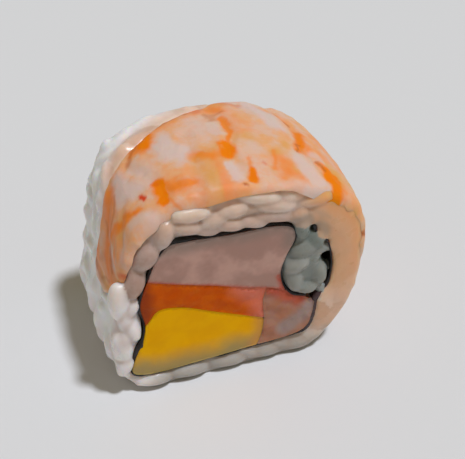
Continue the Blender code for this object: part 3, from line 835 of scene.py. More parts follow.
@dataclass(frozen=True)
class ShrimpTopping:
    """The butterflied shrimp draped over the roll from its left side to its right side."""

    section: Section
    finish: ShrimpFinish
    thickness: float = 2.3
    end_thickness: float = 1.1
    edge_radius: float = 1.3
    corner: float = 1.7
    columns: int = 330
    rows_over: int = 110
    rows_under: int = 24
    tear: float = 0.35
    front_tear_period: float = 2.6
    back_tear_period: float = 2.2
    front_tear_share: float = 0.6
    tear_starts: Pair = (0.02, 0.1)
    calm_back: Pair = (0.5, 0.6)
    calm_share: float = 0.6
    end_rounding: float = 1.6
    underside: float = 0.96
    side_fold: Pair = (0.6, 0.74)
    lip_depth: Pair = (-11.5, -7.5)
    cover_fade: float = 0.6
    cover_front: float = 0.7
    cover_end: float = 0.012
    muscle: float = 0.16
    muscle_period: float = 5.0
    muscle_stretch: Pair = (1.0, 0.6)
    fine: float = 0.06
    fine_period: float = 1.5
    wander: float = 0.48
    wander_period: float = 1.9
    patch_level: float = 0.8
    patch_strength: float = 0.3
    patch_period: float = 1.8
    golden_range: Pair = (-0.1, 0.7)
    golden_period: float = 4.5
    back_keys: Keys = (
        (0.0, -1.6), (0.06, -0.4), (0.195, 0.8), (0.258, 2.6), (0.31, 4.3), (0.378, 6.6),
        (0.448, 8.7), (0.515, 10.6), (0.57, 11.8), (0.63, 12.4), (0.7, 12.4), (1.0, 11.9),
    )
    front_keys: Keys = (
        (0.0, -5.2), (0.03, -7.6), (0.098, -10.4), (0.167, -11.5), (0.23, -11.8), (0.29, -11.3),
        (0.345, -11.2), (0.4, -11.7), (0.6, -11.9), (0.68, -11.75), (0.74, -11.55), (1.0, -11.3),
    )
    lip_keys: Keys = (
        (0.0, 0.6), (0.15, 1.0), (0.28, 1.8), (0.42, 1.9), (0.5, 1.4), (0.56, 1.0), (0.64, 0.8),
        (0.7, 0.6), (1.0, 0.5),
    )
    vivid: tuple[Stroke, ...] = (
        Stroke(((0.509, -2.3), (0.512, -4.1)), 1.15, 1.0, soft=0.3),
        Stroke(((0.534, 5.2), (0.538, 2.2), (0.534, 0.0), (0.522, -1.8)), 0.5, 0.85, soft=0.6),
        Stroke(((0.352, 4.6), (0.342, 2.6)), 1.4, 1.0, soft=0.6),
        Stroke(((0.33, 3.9), (0.312, 2.2)), 0.4, 0.7, soft=0.6),
        Stroke(((0.337, -6.3), (0.338, -9.0)), 1.0, 1.0, soft=0.35),
        Stroke(((0.35, -7.2), (0.405, -7.9)), 0.9, 0.75, soft=0.6),
        Stroke(((0.352, -9.0), (0.36, -11.0)), 0.4, 0.6),
        Stroke(((0.54, -6.2), (0.541, -8.6)), 0.25, 0.6),
        Stroke(((0.54, -8.4), (0.539, -10.1)), 0.75, 1.0, soft=0.4),
        Stroke(((0.724, 2.2), (0.71, 0.2), (0.69, -3.2)), 0.75, 0.95, soft=0.6),
        Stroke(((0.73, -5.4), (0.738, -7.6)), 0.5, 0.7),
        Stroke(((0.74, -6.6), (0.755, -9.4), (0.745, -11.6)), 0.8, 1.0, 1.15, soft=0.4),
        Stroke(((0.225, -0.8), (0.2, -2.2), (0.18, -4.2)), 1.3, 0.8),
        Stroke(((0.14, -5.2), (0.2, -6.6), (0.245, -7.8)), 0.6, 0.9),
        Stroke(((0.24, -7.0), (0.278, -8.5)), 0.5, 0.9),
        Stroke(((0.19, -2.6), (0.15, -4.2), (0.09, -6.6)), 0.8, 0.7),
        Stroke(((0.11, 0.8), (0.08, -2.8)), 0.5, 0.55),
        Stroke(((0.205, -6.0), (0.16, -8.0), (0.13, -9.6)), 0.35, 0.6),
        Stroke(((0.442, -3.4), (0.47, -4.2)), 1.0, 0.7),
        Stroke(((0.52, 8.6), (0.548, 7.6)), 0.8, 0.45),
        Stroke(((0.62, -4.2), (0.598, -7.4)), 0.4, 0.5),
    )
    wash: tuple[Stroke, ...] = (
        Stroke(((0.438, -3.6), (0.475, -4.3), (0.5, -3.6)), 1.6, 0.85),
        Stroke(((0.455, -6.2), (0.47, -10.6)), 2.3, 0.8),
        Stroke(((0.37, -8.0), (0.43, -8.8)), 1.2, 0.85),
        Stroke(((0.326, 2.8), (0.35, 5.2), (0.4, 6.2), (0.45, 6.8)), 1.0, 0.65),
        Stroke(((0.44, 8.4), (0.5, 8.6), (0.56, 9.0)), 1.2, 0.7),
        Stroke(((0.553, 6.4), (0.565, 2.0), (0.572, -1.4)), 1.7, 0.6),
        Stroke(((0.622, -5.8), (0.635, -9.6)), 2.0, 0.85),
        Stroke(((0.665, -2.4), (0.63, -4.4), (0.592, -7.6)), 0.6, 0.8),
        Stroke(((0.7, 8.4), (0.715, 4.4), (0.72, 1.0), (0.7, -3.6)), 1.0, 0.75),
        Stroke(((0.73, -2.0), (0.762, -6.0), (0.77, -11.0)), 1.6, 0.85),
        Stroke(((0.78, 2.0), (0.82, -5.0), (0.83, -11.0)), 1.8, 0.7),
        Stroke(((0.87, 6.0), (0.9, -3.0), (0.9, -10.0)), 2.2, 0.55),
        Stroke(((0.235, -1.0), (0.19, -3.0), (0.13, -5.6), (0.08, -8.2)), 2.4, 1.0),
        Stroke(((0.225, -7.2), (0.17, -9.4)), 1.5, 0.85),
        Stroke(((0.12, 1.4), (0.06, -1.4), (0.05, -5.0)), 2.2, 0.75),
        Stroke(((0.4, -10.6), (0.47, -11.4)), 0.9, 0.5),
    )
    pale: tuple[Stroke, ...] = (
        Stroke(((0.382, 1.6), (0.392, -0.8), (0.412, -2.0)), 1.9, 1.0, soft=0.5),
        Stroke(((0.503, 3.2), (0.51, 0.8)), 1.0, 0.8, soft=0.5),
        Stroke(((0.47, 4.6), (0.48, 1.0)), 1.5, 0.55),
        Stroke(((0.258, -0.6), (0.262, -3.6), (0.288, -4.8)), 1.7, 0.95, soft=0.5),
        Stroke(((0.318, -1.0), (0.33, -4.2)), 1.5, 0.6),
        Stroke(((0.503, -6.9), (0.506, -9.6)), 1.05, 0.95, soft=0.4),
        Stroke(((0.672, -5.8), (0.692, -9.8)), 1.6, 0.9, soft=0.5),
        Stroke(((0.728, -3.2), (0.732, -4.6)), 0.8, 0.7, soft=0.6),
        Stroke(((0.63, 9.6), (0.65, 6.4), (0.664, 3.4)), 1.8, 1.0, soft=0.6),
        Stroke(((0.595, 10.9), (0.69, 11.2)), 1.1, 0.8),
        Stroke(((0.25, -9.6), (0.305, -10.6)), 0.9, 0.7),
        Stroke(((0.6, -10.9), (0.68, -11.2)), 0.8, 0.5),
        Stroke(((0.455, 11.0), (0.53, 11.2)), 0.7, 0.7),
        Stroke(((0.0, -9.0), (0.012, -3.0), (0.03, 0.0)), 1.6, 0.8),
        Stroke(((0.17, -5.4), (0.12, -8.4)), 0.6, 0.6),
        Stroke(((0.215, -9.0), (0.16, -11.0)), 0.7, 0.5),
        Stroke(((0.37, 9.0), (0.45, 10.6), (0.56, 12.2)), 0.9, 0.8),
        Stroke(((0.555, -2.2), (0.585, -4.4)), 0.8, 0.45),
        Stroke(((0.665, -12.2), (0.75, -12.2)), 1.5, 0.9, soft=0.6),
    )
    lines: tuple[Stroke, ...] = (
        Stroke(((0.298, 0.6), (0.308, 1.9), (0.322, 3.5)), 0.4, 0.55),
        Stroke(((0.385, 6.6), (0.4, 7.0), (0.41, 6.7)), 0.35, 0.55),
        Stroke(((0.37, 5.8), (0.42, 7.2), (0.46, 8.1), (0.5, 9.2)), 0.2, 0.5),
        Stroke(((0.512, 4.8), (0.516, 6.6)), 0.6, 0.5),
        Stroke(((0.515, 7.0), (0.55, 7.2)), 0.35, 0.4),
        Stroke(((0.688, 7.2), (0.702, 8.8)), 0.4, 0.55),
        Stroke(((0.703, 6.4), (0.712, 5.2)), 0.5, 0.55),
        Stroke(((0.684, -3.9), (0.7, -1.2)), 0.22, 0.7),
        Stroke(((0.515, -11.2),), 0.28, 1.0),
        Stroke(((0.914, -11.2), (0.926, -9.8)), 0.4, 1.0),
        Stroke(((0.724, -5.2), (0.735, -6.8)), 0.22, 0.7),
        Stroke(((0.166, -2.2), (0.16, -4.2)), 0.5, 0.35),
        Stroke(((0.09, -3.4), (0.1, -4.8)), 0.5, 0.3),
        # Wide faint darkening at the far left end: painted shade, laid in the line colour.
        Stroke(((0.03, -2.0), (0.075, -5.6)), 1.8, 0.05),
        Stroke(((0.12, 0.8), (0.06, -1.2), (0.035, -4.4), (0.07, -7.6)), 0.4, 0.45),
        Stroke(((0.235, -2.2), (0.21, -4.6), (0.15, -6.2), (0.1, -8.4)), 0.35, 0.45),
    )
    reds: tuple[Stroke, ...] = (
        Stroke(((0.3, -6.9),), 0.42, 1.0, soft=0.5),
        Stroke(((0.122, -11.0),), 0.6, 0.6),
        Stroke(((0.56, 10.0), (0.595, 9.2)), 0.8, 0.35),
        Stroke(((0.575, -7.2),), 0.35, 0.4),
        Stroke(((0.33, -5.8),), 0.5, 0.3),
        Stroke(((0.49, 8.3), (0.5, 9.4)), 0.6, 0.35),
    )
    grooves: tuple[Stroke, ...] = (
        Stroke(((0.29, 0.4), (0.31, -2.0), (0.345, -7.0), (0.34, -11.6)), 0.8, 0.2),
        Stroke(((0.515, 10.4), (0.537, 4.0), (0.535, 0.0), (0.512, -4.6), (0.54, -11.6)), 0.8, 0.32),
        Stroke(((0.69, 11.6), (0.715, 4.0), (0.7, -0.4), (0.72, -5.6), (0.745, -11.6)), 0.8, 0.34),
        Stroke(((0.296, 0.4), (0.322, 3.6), (0.4, 6.6), (0.5, 9.0)), 0.6, 0.1),
        Stroke(((0.44, 2.0), (0.43, -4.5), (0.41, -11.6)), 0.9, 0.2),
        Stroke(((0.61, 9.0), (0.6, 0.0), (0.61, -11.0)), 1.0, 0.2),
        Stroke(((0.235, 0.6), (0.21, -1.6), (0.17, -4.0), (0.11, -9.6)), 0.8, 0.16),
        Stroke(((0.25, -5.0), (0.21, -8.2), (0.15, -11.0)), 0.7, 0.14),
        Stroke(((0.07, 0.6), (0.05, -8.0)), 0.6, 0.12),
        Stroke(((0.85, 11.4), (0.86, 0.0), (0.87, -11.4)), 1.0, 0.2),
    )

    @cached_property
    def length(self) -> float:
        """The shrimp's length along the outline."""
        left, right = self.section.shrimp_range
        return (right - left) * self.section.outline_step

    def back(self, share: Array) -> Array:
        """How far back the shrimp reaches at a share."""
        return np.interp(share, *np.array(self.back_keys).T)

    def front(self, share: Array) -> Array:
        """Where the shrimp's front edge lies at a share."""
        return np.interp(share, *np.array(self.front_keys).T)

    def thick(self, share: Array, y: Array) -> Array:
        """Thickness: full over the top, thin at both ends and at the lip on the front face."""
        body = self.end_thickness + (self.thickness - self.end_thickness) * (1 - (2 * share - 1) ** 4)
        lip = np.interp(share, *np.array(self.lip_keys).T)
        return lip + (body - lip) * ease(*self.lip_depth, y)

    def covers(self, flat: Array, y: Array) -> Array:
        """How deep the shrimp lies over section places at depth y, and 0 where it is bare."""
        share, _ = self.section.share_of(flat)
        inside = np.clip(share, 0, 1)
        fade, end = self.cover_fade, self.cover_end
        edge = ease(-fade, fade, self.back(inside) - y)
        edge = edge * ease(-fade, fade, y - self.front(inside) + self.cover_front)
        return self.thick(inside, y) * edge * ease(-end, end, share) * ease(-end, end, 1 - share)

    def surface(self) -> tuple[Array, Array]:
        """The closed surface on a grid: share along the outline by a lap round the slab.

        The lap runs over the top from the front edge to the back one and returns beneath. Its
        upper side falls to the underside by a quarter circle at every edge, and carries lumps
        and grooves; the ends pinch shut in the same way.

        Returns:
            Points row by row, and for each its distance along the shrimp and its depth.
        """
        share = np.linspace(0, 1, self.columns)
        over = (1 - np.cos(np.linspace(0, math.pi, self.rows_over))) / 2
        under = np.linspace(1, 0, self.rows_under + 2)[1:-1]
        lap = np.concatenate([over, under])
        s, w = np.meshgrid(share, lap, indexing="ij")
        along, torn = np.stack([share * self.length, 0 * share], 1), ease(*self.tear_starts, share)
        front_tear = self.tear * ripple(along, self.front_tear_period, seed=3, octaves=2)
        back_tear = self.tear * ripple(along, self.back_tear_period, seed=9, octaves=2)
        low = self.front(share) + front_tear * self.front_tear_share * torn
        calm = 1 - self.calm_share * ease(*self.calm_back, share)
        high = self.back(share) + back_tear * torn * calm
        y = low[:, None] + (high - low)[:, None] * w
        base, normal = self.section.outline_at(s)
        places = np.stack([s * self.length, y], -1).reshape(-1, 2)
        thick = self.thick(s, y)
        edge = np.minimum(y - low[:, None], high[:, None] - y)
        ends = np.minimum(s, 1 - s) * self.length
        radius = np.minimum(self.edge_radius, thick)
        round_off = 1 - np.sqrt(np.clip(1 - (1 - np.clip(edge / radius, 0, 1)) ** 2, 0, 1))
        pinch = 1 - np.sqrt(np.clip(1 - (1 - np.clip(ends / self.end_rounding, 0, 1)) ** 2, 0, 1))
        drop = np.maximum(round_off, pinch)
        lumps = self.lumps(places).reshape(s.shape) * (1 - drop)
        top = thick * drop - lumps
        is_under = np.arange(len(lap))[None] >= self.rows_over
        floor = thick * self.underside
        depth = np.where(is_under, np.maximum(floor, thick * pinch), np.minimum(top, floor))
        depth = depth + ease(*self.side_fold, s) * self.section.rounded(y, self.corner) * (y < 0)
        flat = base + normal * depth[..., None]
        return self.section.solid(flat, y).reshape(-1, 3), places

    def lumps(self, places: Array) -> Array:
        """Height over the plain drape: soft muscle lumps less the grooves between bands."""
        swell = self.muscle * ripple(places * np.array(self.muscle_stretch), self.muscle_period, seed=5)
        swell = swell + self.fine * ripple(places, self.fine_period, seed=7)
        return swell - sum(groove.lay(places, self.length) for groove in self.grooves)

    def masks(self, places: Array) -> dict[str, Array]:
        """The pigments at each place, with their edges broken up by noise.

        Args:
            places: distance along the shrimp and depth, in millimetres.

        Returns:
            Values from 0 to 1 by mask name.
        """
        wander = np.stack([ripple(places, self.wander_period, seed, octaves=4) for seed in (21, 22)], 1)
        moved = places + self.wander * wander
        patches = ripple(places, self.patch_period, seed=23, octaves=3)
        patchy = self.patch_level + self.patch_strength * patches
        golden = ease(*self.golden_range, ripple(places, self.golden_period, seed=24))

        def together(strokes: tuple[Stroke, ...]) -> Array:
            """The strongest stroke at each place."""
            return np.max([stroke.lay(moved, self.length) for stroke in strokes], axis=0)

        return {
            "vivid": np.clip(together(self.vivid), 0, 1),
            "wash": np.clip(together(self.wash) * patchy, 0, 1),
            "golden": golden,
            "pale": np.clip(together(self.pale), 0, 1),
            # The line mask also carries a faint painted shade at the far left end.
            "line": np.clip(together(self.lines), 0, 1),
            "red": np.clip(together(self.reds), 0, 1),
        }

    def build(self, groups: SharedGroups) -> bpy.types.Object:
        """Builds the shrimp.

        Args:
            groups: the shared shader effects.

        Returns:
            The dressed piece.
        """
        points, places = self.surface()
        faces = tube_faces(self.columns, self.rows_over + self.rows_under)
        piece = build_piece("shrimp_topping", points, faces, self.masks(places))
        piece.data.materials.append(self.finish.material(groups))
        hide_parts("shrimp")
        return piece


# The rice


@dataclass(frozen=True)
class Grain:
    """One grain that lies on a cut face: its middle, size, turn from +x in degrees and rise."""

    x: float
    z: float
    length: float
    width: float
    turn: float
    rise: float = 0.35
    tone: float = 0.6


FRONT_GRAINS: tuple[Grain, ...] = (
    Grain(-7.6, 34.4, 6.0, 2.5, -5, 0.6, 0.8), Grain(-8.1, 32.1, 4.9, 2.7, -16, 0.5, 0.4),
    Grain(-11.5, 31.6, 5.2, 3.0, 80, 0.7, 0.35), Grain(-14.3, 28.0, 4.8, 3.7, 60, 0.8, 0.1),
    Grain(-16.2, 23.4, 5.6, 3.2, 76, 0.6, 0.1), Grain(-18.9, 20.4, 7.4, 3.4, 86, 0.5, 0.9),
    Grain(-18.2, 17.0, 5.2, 2.2, 82, 0.3, 0.9), Grain(-19.0, 11.0, 7.0, 3.4, 97, 0.5, 1.0),
    Grain(-17.2, 18.6, 3.9, 2.6, 61, 0.3, 0.5), Grain(-17.3, 14.4, 5.4, 2.3, 107, 0.5, 0.7),
    Grain(-18.7, 12.6, 4.8, 2.3, 77, 0.4, 0.7), Grain(-18.9, 6.6, 5.0, 3.0, 70, 0.3, 0.8),
    Grain(3.0, 34.8, 6.4, 2.4, -16, 0.5, 1.0), Grain(5.2, 32.7, 7.2, 2.4, -17, 0.45, 0.7),
    Grain(-1.1, 33.4, 4.9, 2.8, -3, 0.4, 0.75), Grain(-1.7, 30.8, 4.8, 2.3, -16, 0.45, 0.3),
    Grain(5.4, 30.6, 6.6, 2.3, -15, 0.35, 0.3), Grain(-4.2, 32.4, 4.2, 2.9, 11, 0.45, 0.55),
    Grain(2.0, 30.3, 4.6, 2.2, -16, 0.35, 0.3), Grain(-5.0, 30.7, 3.8, 2.0, -10, 0.35, 0.25),
    Grain(10.2, 22.8, 4.6, 3.6, 10, 0.65, 0.5), Grain(8.9, 16.6, 5.2, 3.0, 100, 0.65, 0.7),
    Grain(13.1, 16.8, 4.7, 2.8, 104, 0.6, 0.5), Grain(9.1, 20.0, 4.3, 3.0, 23, 0.8, 0.9),
    Grain(11.7, 19.8, 4.0, 2.7, 65, 0.3, 0.3), Grain(11.1, 14.5, 3.6, 2.6, -5, 0.6, 0.6),
    Grain(12.3, 24.1, 3.6, 2.6, 100, 0.6, 0.1),
    Grain(9.7, 27.0, 4.6, 2.8, 101, 0.5, 0.3), Grain(8.9, 29.8, 3.4, 2.9, 24, 0.45, 0.2),
    Grain(16.6, 25.4, 7.0, 3.6, -63, 0.0, 0.6), Grain(17.6, 18.3, 7.4, 4.0, 91, 0.02, 0.6),
    Grain(17.4, 11.2, 6.6, 3.8, 72, 0.02, 0.7), Grain(14.7, 5.6, 6.4, 3.6, 42, 0.02, 0.6),
    Grain(13.4, 29.6, 7.0, 3.2, -38, 0.0, 0.4), Grain(-14.4, 2.0, 5.9, 2.6, -4, 0.5, 0.8),
    Grain(-8.7, 1.9, 6.6, 2.7, -4, 0.4, 0.7), Grain(-1.9, 1.9, 6.6, 2.8, -3, 0.35, 0.7),
    Grain(4.6, 1.9, 5.6, 2.8, -3, 0.3, 0.6), Grain(10.2, 1.9, 6.0, 2.9, 4, 0.35, 0.5),
)


@dataclass(frozen=True)
class RiceZones:
    """Where the rice takes each colour: places and smooth steps on the section, and strengths."""

    bundle_top: Pair = (29.6, 26.4)
    stem_place: Pair = (9.4, 28.2)
    stem_reach: Pair = (2.6, 1.6)
    notch_place: Pair = (12.3, 26.0)
    notch_reach: Pair = (2.6, 1.3)
    stem_shade: float = 0.45
    tone_in_shade: float = 0.22
    right_across: Pair = (3.0, 15.0)
    right_fade: Pair = (20.0, 8.0)
    right_loss: float = 0.3
    top_up: Pair = (29.0, 34.0)
    top_strength: float = 0.42
    low_down: Pair = (6.0, 2.0)
    low_across: Pair = (-17.5, -12.5)
    low_shade: float = 0.6
    low_peach_loss: float = 0.6
    flank_across: Pair = (4.0, -6.0)
    flank_skin: Pair = (3.2, 1.4)
    flank_depth: Pair = (-11.2, -8.5)
    flank_seam_loss: float = 0.9
    juice_reach: Pair = (5.6, 1.0)
    juice_along: Pair = (0.12, 0.3)
    juice_peach: float = 0.5
    juice_cover: float = 0.7
    blush_start: Pair = (0.6, 0.74)
    blush_end: Pair = (1.06, 0.9)
    blush_skin: Pair = (4.0, 0.6)
    blush_depth: Pair = (-6.0, -10.0)
    # The white mask is painted light on the left of the ring, weaker near the base.
    left_across: Pair = (-13.5, -17.5)
    left_up: Pair = (22.0, 19.0)
    left_white: float = 0.6
    foot_down: Pair = (14.0, 4.0)
    foot_loss: float = 0.3
    patch_size: float = 6.0
    patch_strength: float = 0.12
    peach_strength: float = 0.95

    def masks(self, section: Section, shrimp: ShrimpTopping, points: Array, tone: Array,
              seam: Array) -> dict[str, Array]:
        """The colour masks: products of smooth steps across, up and into the slice.

        Args:
            section: the slice's section.
            shrimp: the topping, whose juice colours the rice beside it.
            points: the skin's points in millimetres.
            tone: the tone of each point's grain.
            seam: how near each point lies to a seam between grains, where painted shade goes.

        Returns:
            Values from 0 to 1 by mask name.
        """
        flat = section.flat(points)
        x, z, y = flat[:, 0], flat[:, 1], points[:, 1]
        share, skin = section.share_of(flat)
        bundle = within(flat, section.wall) * ease(*self.bundle_top, z)
        stem = ease(*self.stem_reach, np.linalg.norm(flat - np.array(self.stem_place), axis=1))
        notch = ease(*self.notch_reach, np.linalg.norm(flat - np.array(self.notch_place), axis=1))
        right = ease(*self.right_across, x) * (1 - bundle)
        right = right * (1 - self.right_loss * ease(*self.right_fade, z))
        top = ease(*self.top_up, z) * self.top_strength
        low = ease(*self.low_down, z)
        flank = ease(*self.flank_across, x) * ease(*self.flank_skin, skin) * ease(*self.flank_depth, y)
        behind = y - shrimp.back(np.clip(share, 0, 1))
        juice = flank * ease(*self.juice_reach, behind) * ease(*self.juice_along, share)
        blush = ease(*self.blush_start, share) * ease(*self.blush_end, share)
        blush = blush * ease(*self.blush_skin, skin) * ease(*self.blush_depth, y)
        # Painted light: whiter rice on the left flank and at the lower left, less near the base and
        # where juice tints it.
        left = self.left_white * ease(*self.left_across, x) * ease(*self.left_up, z)
        white = np.clip(flank + left, 0, 1) * (1 - self.foot_loss * ease(*self.foot_down, z))
        warm = np.maximum(right * (1 - self.low_peach_loss * low), top * (1 - flank))
        peach = np.clip(warm + self.patch_strength * ripple(points, self.patch_size, seed=31), 0, 1)
        shade = bundle * (1 - self.tone_in_shade * tone) + self.stem_shade * np.maximum(stem, notch)
        shade = shade + self.low_shade * low * ease(*self.low_across, x)
        return {
            "tone": tone,
            "seam": np.clip(seam * (1 - self.flank_seam_loss * flank) * (1 - bundle), 0, 1),
            "blush": blush,
            "peach": np.clip(peach * self.peach_strength + self.juice_peach * juice, 0, 1),
            "white": white * (1 - self.juice_cover * juice),
            "shade": np.clip(shade, 0, 1),
        }


@dataclass(frozen=True)
class RiceRing:
    """The ring of rice, the rice in the nori's curl and every grain that shows."""

    section: Section
    shrimp: ShrimpTopping
    finish: RiceFinish
    core_points: int = 180
    grainy_face_inset: float = 0.7
    smooth_face_inset: float = 0.12
    grainy_side_inset: float = 0.75
    smooth_side_inset: float = 0.35
    back_bulge: float = 1.3
    bulge_up: Pair = (22.0, 33.0)
    bulge_across: Pair = (9.0, 3.0)
    nori_hold: float = 0.2
    curl_across: Pair = (15.0, 13.6)
    curl_top: Pair = (31.5, 29.5)
    curl_foot: Pair = (11.0, 13.0)
    smooth_across: Pair = (9.5, 14.5)
    smooth_foot: Pair = (1.5, 5.0)
    smooth_lean: float = 0.25
    smooth_top: float = 31.0
    side_rows: int = 40
    inner_rows: int = 6
    facet_depth: float = 0.18
    facet_size: float = 5.0
    face_wave: float = 4.0
    face_lift: float = 0.15
    under_shrimp: float = 0.1
    smooth_rise: float = 0.35
    base_level: float = 0.02
    least_wall: float = 0.6
    curl_lead: int = 4
    bundle_step: float = 0.6
    bundle_rows: int = 10
    stem_top: Pair = (9.3, 30.6)
    bite_place: tuple[float, float, float] = (-20.0, -12.6, 2.0)
    bite_radii: tuple[float, float, float] = (4.4, 5.6, 3.4)
    grain_rings: int = 7
    grain_around: int = 9
    grain_fullness: float = 0.8
    grain_bluntness: float = 0.1
    grain_length: float = 5.9
    grain_width: float = 2.7
    placed_height: float = 0.92
    length_range: Pair = (0.72, 1.1)
    width_range: Pair = (0.85, 1.1)
    height_range: Pair = (0.8, 1.0)
    back_share: float = 0.55
    face_share: float = 0.5
    face_inset: Pair = (0.8, 8.0)
    face_rise: Pair = (-0.1, 0.4)
    core_share: float = 0.2
    core_across: Pair = (7.0, 14.5)
    core_up: Pair = (13.0, 30.0)
    side_ends: Pair = (0.9, 0.2)
    side_rise: Pair = (-0.25, 0.15)
    pressed_share: float = 0.45
    pressed_drop: float = 0.12
    lean: float = 0.7
    tip: float = 0.16
    spacing: float = 2.15
    side_spacing: float = 3.1
    base_clearance: float = 0.1
    face_overhang: float = 0.5
    nori_clearance: float = 0.35
    shrimp_overlap: float = 0.15
    side_overhang: float = 0.45
    tries: int = 5200
    seed: int = 4
    voxel: float = 0.31
    limit: int = 190000
    smoothings: int = 7
    far_off: float = 9.0
    core_tone: float = 0.45
    tone_reach: float = 4.6
    seam_width: Pair = (0.0, 0.9)
    seam_gap: Pair = (0.15, 0.7)
    seam_skin: Pair = (-0.9, -0.1)
    seam_lift: float = 0.3
    smooth_seam_loss: float = 0.8
    zones: RiceZones = RiceZones()

    def smoothness(self, flat: Array) -> Array:
        """Where the rice is pressed smooth: 1 on the ring's right side, 0 on its left and top.

        Args:
            flat: places on the section.

        Returns:
            Values from 0 to 1.
        """
        x, z = flat[:, 0], flat[:, 1]
        in_curl = ease(*self.curl_across, x) * ease(*self.curl_top, z) * ease(*self.curl_foot, z)
        right = ease(*self.smooth_across, x + self.smooth_lean * (self.smooth_top - z))
        return right * (1 - in_curl) * ease(*self.smooth_foot, z)

    def inner_radius(self, angles: Array) -> Array:
        """Distance from the ring's centre to the nori's outer face in each direction.

        Args:
            angles: directions from the centre, in radians.

        Returns:
            One distance for each direction.
        """
        to = beside(self.section.wall, self.nori_hold) - np.array(self.section.ring_centre)
        reach = np.linalg.norm(to, axis=1)
        return np.interp(angles, np.arctan2(to[:, 1], to[:, 0]), reach, period=2 * math.pi)

    def core(self) -> tuple[Array, list]:
        """The plain ring: its profile in depth carried round the outline.

        The outer wall lies a little inside the outline, and under the shrimp where that covers
        it; the inner wall lies on the nori. The cut faces lie deeper where grains will cover
        them.

        Returns:
            Points and faces.
        """
        loop, normal = self.section.outline, self.section.inward
        pick = np.linspace(0, len(loop), self.core_points, endpoint=False).astype(int)
        base, inward = loop[pick], normal[pick]
        smooth = self.smoothness(base)
        face = self.section.half - self.grainy_face_inset
        face = face + (self.grainy_face_inset - self.smooth_face_inset) * smooth
        x, z = base.T
        bulge = self.back_bulge * ease(*self.bulge_up, z) * ease(*self.bulge_across, x)
        side = self.grainy_side_inset + (self.smooth_side_inset - self.grainy_side_inset) * smooth
        gap, _ = nearest(self.section.nori, base)
        vague = self.facet_depth * smooth
        rows = []
        for share in np.linspace(-1, 1, self.side_rows):
            y = share * face + ease(0.0, 1.0, np.full(len(base), share)) * bulge
            facets = vague * ripple(self.section.solid(base, y), self.facet_size, seed=15)
            corner = smooth * (self.section.rounded(y, self.shrimp.corner) * (y < 0))
            under = self.shrimp.covers(base, y) + self.under_shrimp - self.smooth_rise * smooth
            raised = np.maximum(under, side + facets) + corner
            inset = np.where(z < self.base_level, 0.0, raised)
            inset = np.minimum(inset, np.maximum(gap - self.least_wall, 0.0))
            rows.append(self.section.solid(base + inward * inset[:, None], y))
        centre = np.array(self.section.ring_centre)
        to = base - centre
        angles = np.arctan2(to[:, 1], to[:, 0])
        outwards = np.stack([np.cos(angles), np.sin(angles)], 1)
        inner = centre + self.inner_radius(angles)[:, None] * outwards
        middle = (rows[-1][:, [0, 2]] + inner) / 2
        waves = vague * ripple(self.section.solid(middle, 0 * face), self.face_wave, seed=16)
        rows.append(self.section.solid(middle, face + self.face_lift * smooth - waves))
        shares = np.linspace(1, -1, self.inner_rows)
        rows += [self.section.solid(inner, share * face) for share in shares]
        rows.append(self.section.solid(middle, -face - self.face_lift * smooth + waves))
        return np.vstack(rows), grid_faces(len(rows), self.core_points, True, True).tolist()

    def bundle(self) -> tuple[Array, list]:
        """The plain rice in the curl: its section between the curl and its free right side.

        Returns:
            Points and faces.
        """
        curl = beside(self.section.nori[self.section.wall_end - self.curl_lead:], self.nori_hold)
        round_it = np.vstack([curl, self.section.core_right, [self.stem_top], curl[:1]])
        loop = even(round_it, self.bundle_step)[:-1]
        face = self.section.half - self.grainy_face_inset
        rows = [self.section.solid(loop, y) for y in np.linspace(-face, face, self.bundle_rows)]
        return np.vstack(rows), tube_faces(len(rows), len(loop))

    def grain_shape(self) -> tuple[Array, list]:
        """A grain on a grid of latitude and longitude: an ellipsoid with one blunter end.

        Returns:
            Points of a grain of unit half sizes along x, and its faces.
        """
        rings, around = self.grain_rings, self.grain_around
        lat = np.linspace(0, math.pi, rings + 2)[1:-1]
        lon = np.linspace(0, 2 * math.pi, around, endpoint=False)
        t, p = np.meshgrid(lat, lon, indexing="ij")
        wide = np.sin(t) ** self.grain_fullness * (1 + self.grain_bluntness * np.cos(t))
        body = np.stack([np.cos(t), wide * np.cos(p), wide * np.sin(p)], -1).reshape(-1, 3)
        points = np.vstack([body, [[1.0, 0, 0]], [[-1.0, 0, 0]]])
        faces = grid_faces(rings, around, wrap_columns=True).tolist()
        top, bottom = len(body), len(body) + 1
        ring = list(range(around))
        faces += [[top, b, a] for a, b in zip(ring, ring[1:] + ring[:1])]
        base = (rings - 1) * around
        faces += [[bottom, base + a, base + b] for a, b in zip(ring, ring[1:] + ring[:1])]
        return points, faces

    def pose(self, centre: Array, axis: Array, out: Array, half: Array,
             rise: float) -> tuple[Array, Array]:
        """A grain's frame, seated so that its highest point rises by `rise` along `out`.

        Args:
            centre: a point on the surface that the grain lies in.
            axis: its long axis.
            out: the way out of the surface.
            half: its half length, half width and half thickness.
            rise: how far it stands out of the surface.

        Returns:
            The grain's middle, and three rows: its half axes.
        """
        axis = axis / np.linalg.norm(axis)
        across = np.cross(out, axis)
        across /= np.linalg.norm(across)
        third = np.cross(axis, across)
        frame = np.stack([axis, across, third]) * half[:, None]
        tallest = np.linalg.norm(frame @ out)
        return centre + out * (rise - tallest), frame

    def face_grains(self) -> Grains:
        """The grains placed one by one on the front face.

        Returns:
            Middles, half axes and tones.
        """
        made = []
        out = np.array([0.0, -1.0, 0.0])
        for grain in FRONT_GRAINS:
            turn = math.radians(grain.turn)
            centre = self.section.solid(np.array([grain.x, grain.z]), -self.section.half)
            axis = np.array([math.cos(turn), 0.0, math.sin(turn)])
            half = np.array([grain.length, grain.width, grain.width * self.placed_height]) / 2
            made.append((*self.pose(centre, axis, out, half, grain.rise), grain.tone))
        return made

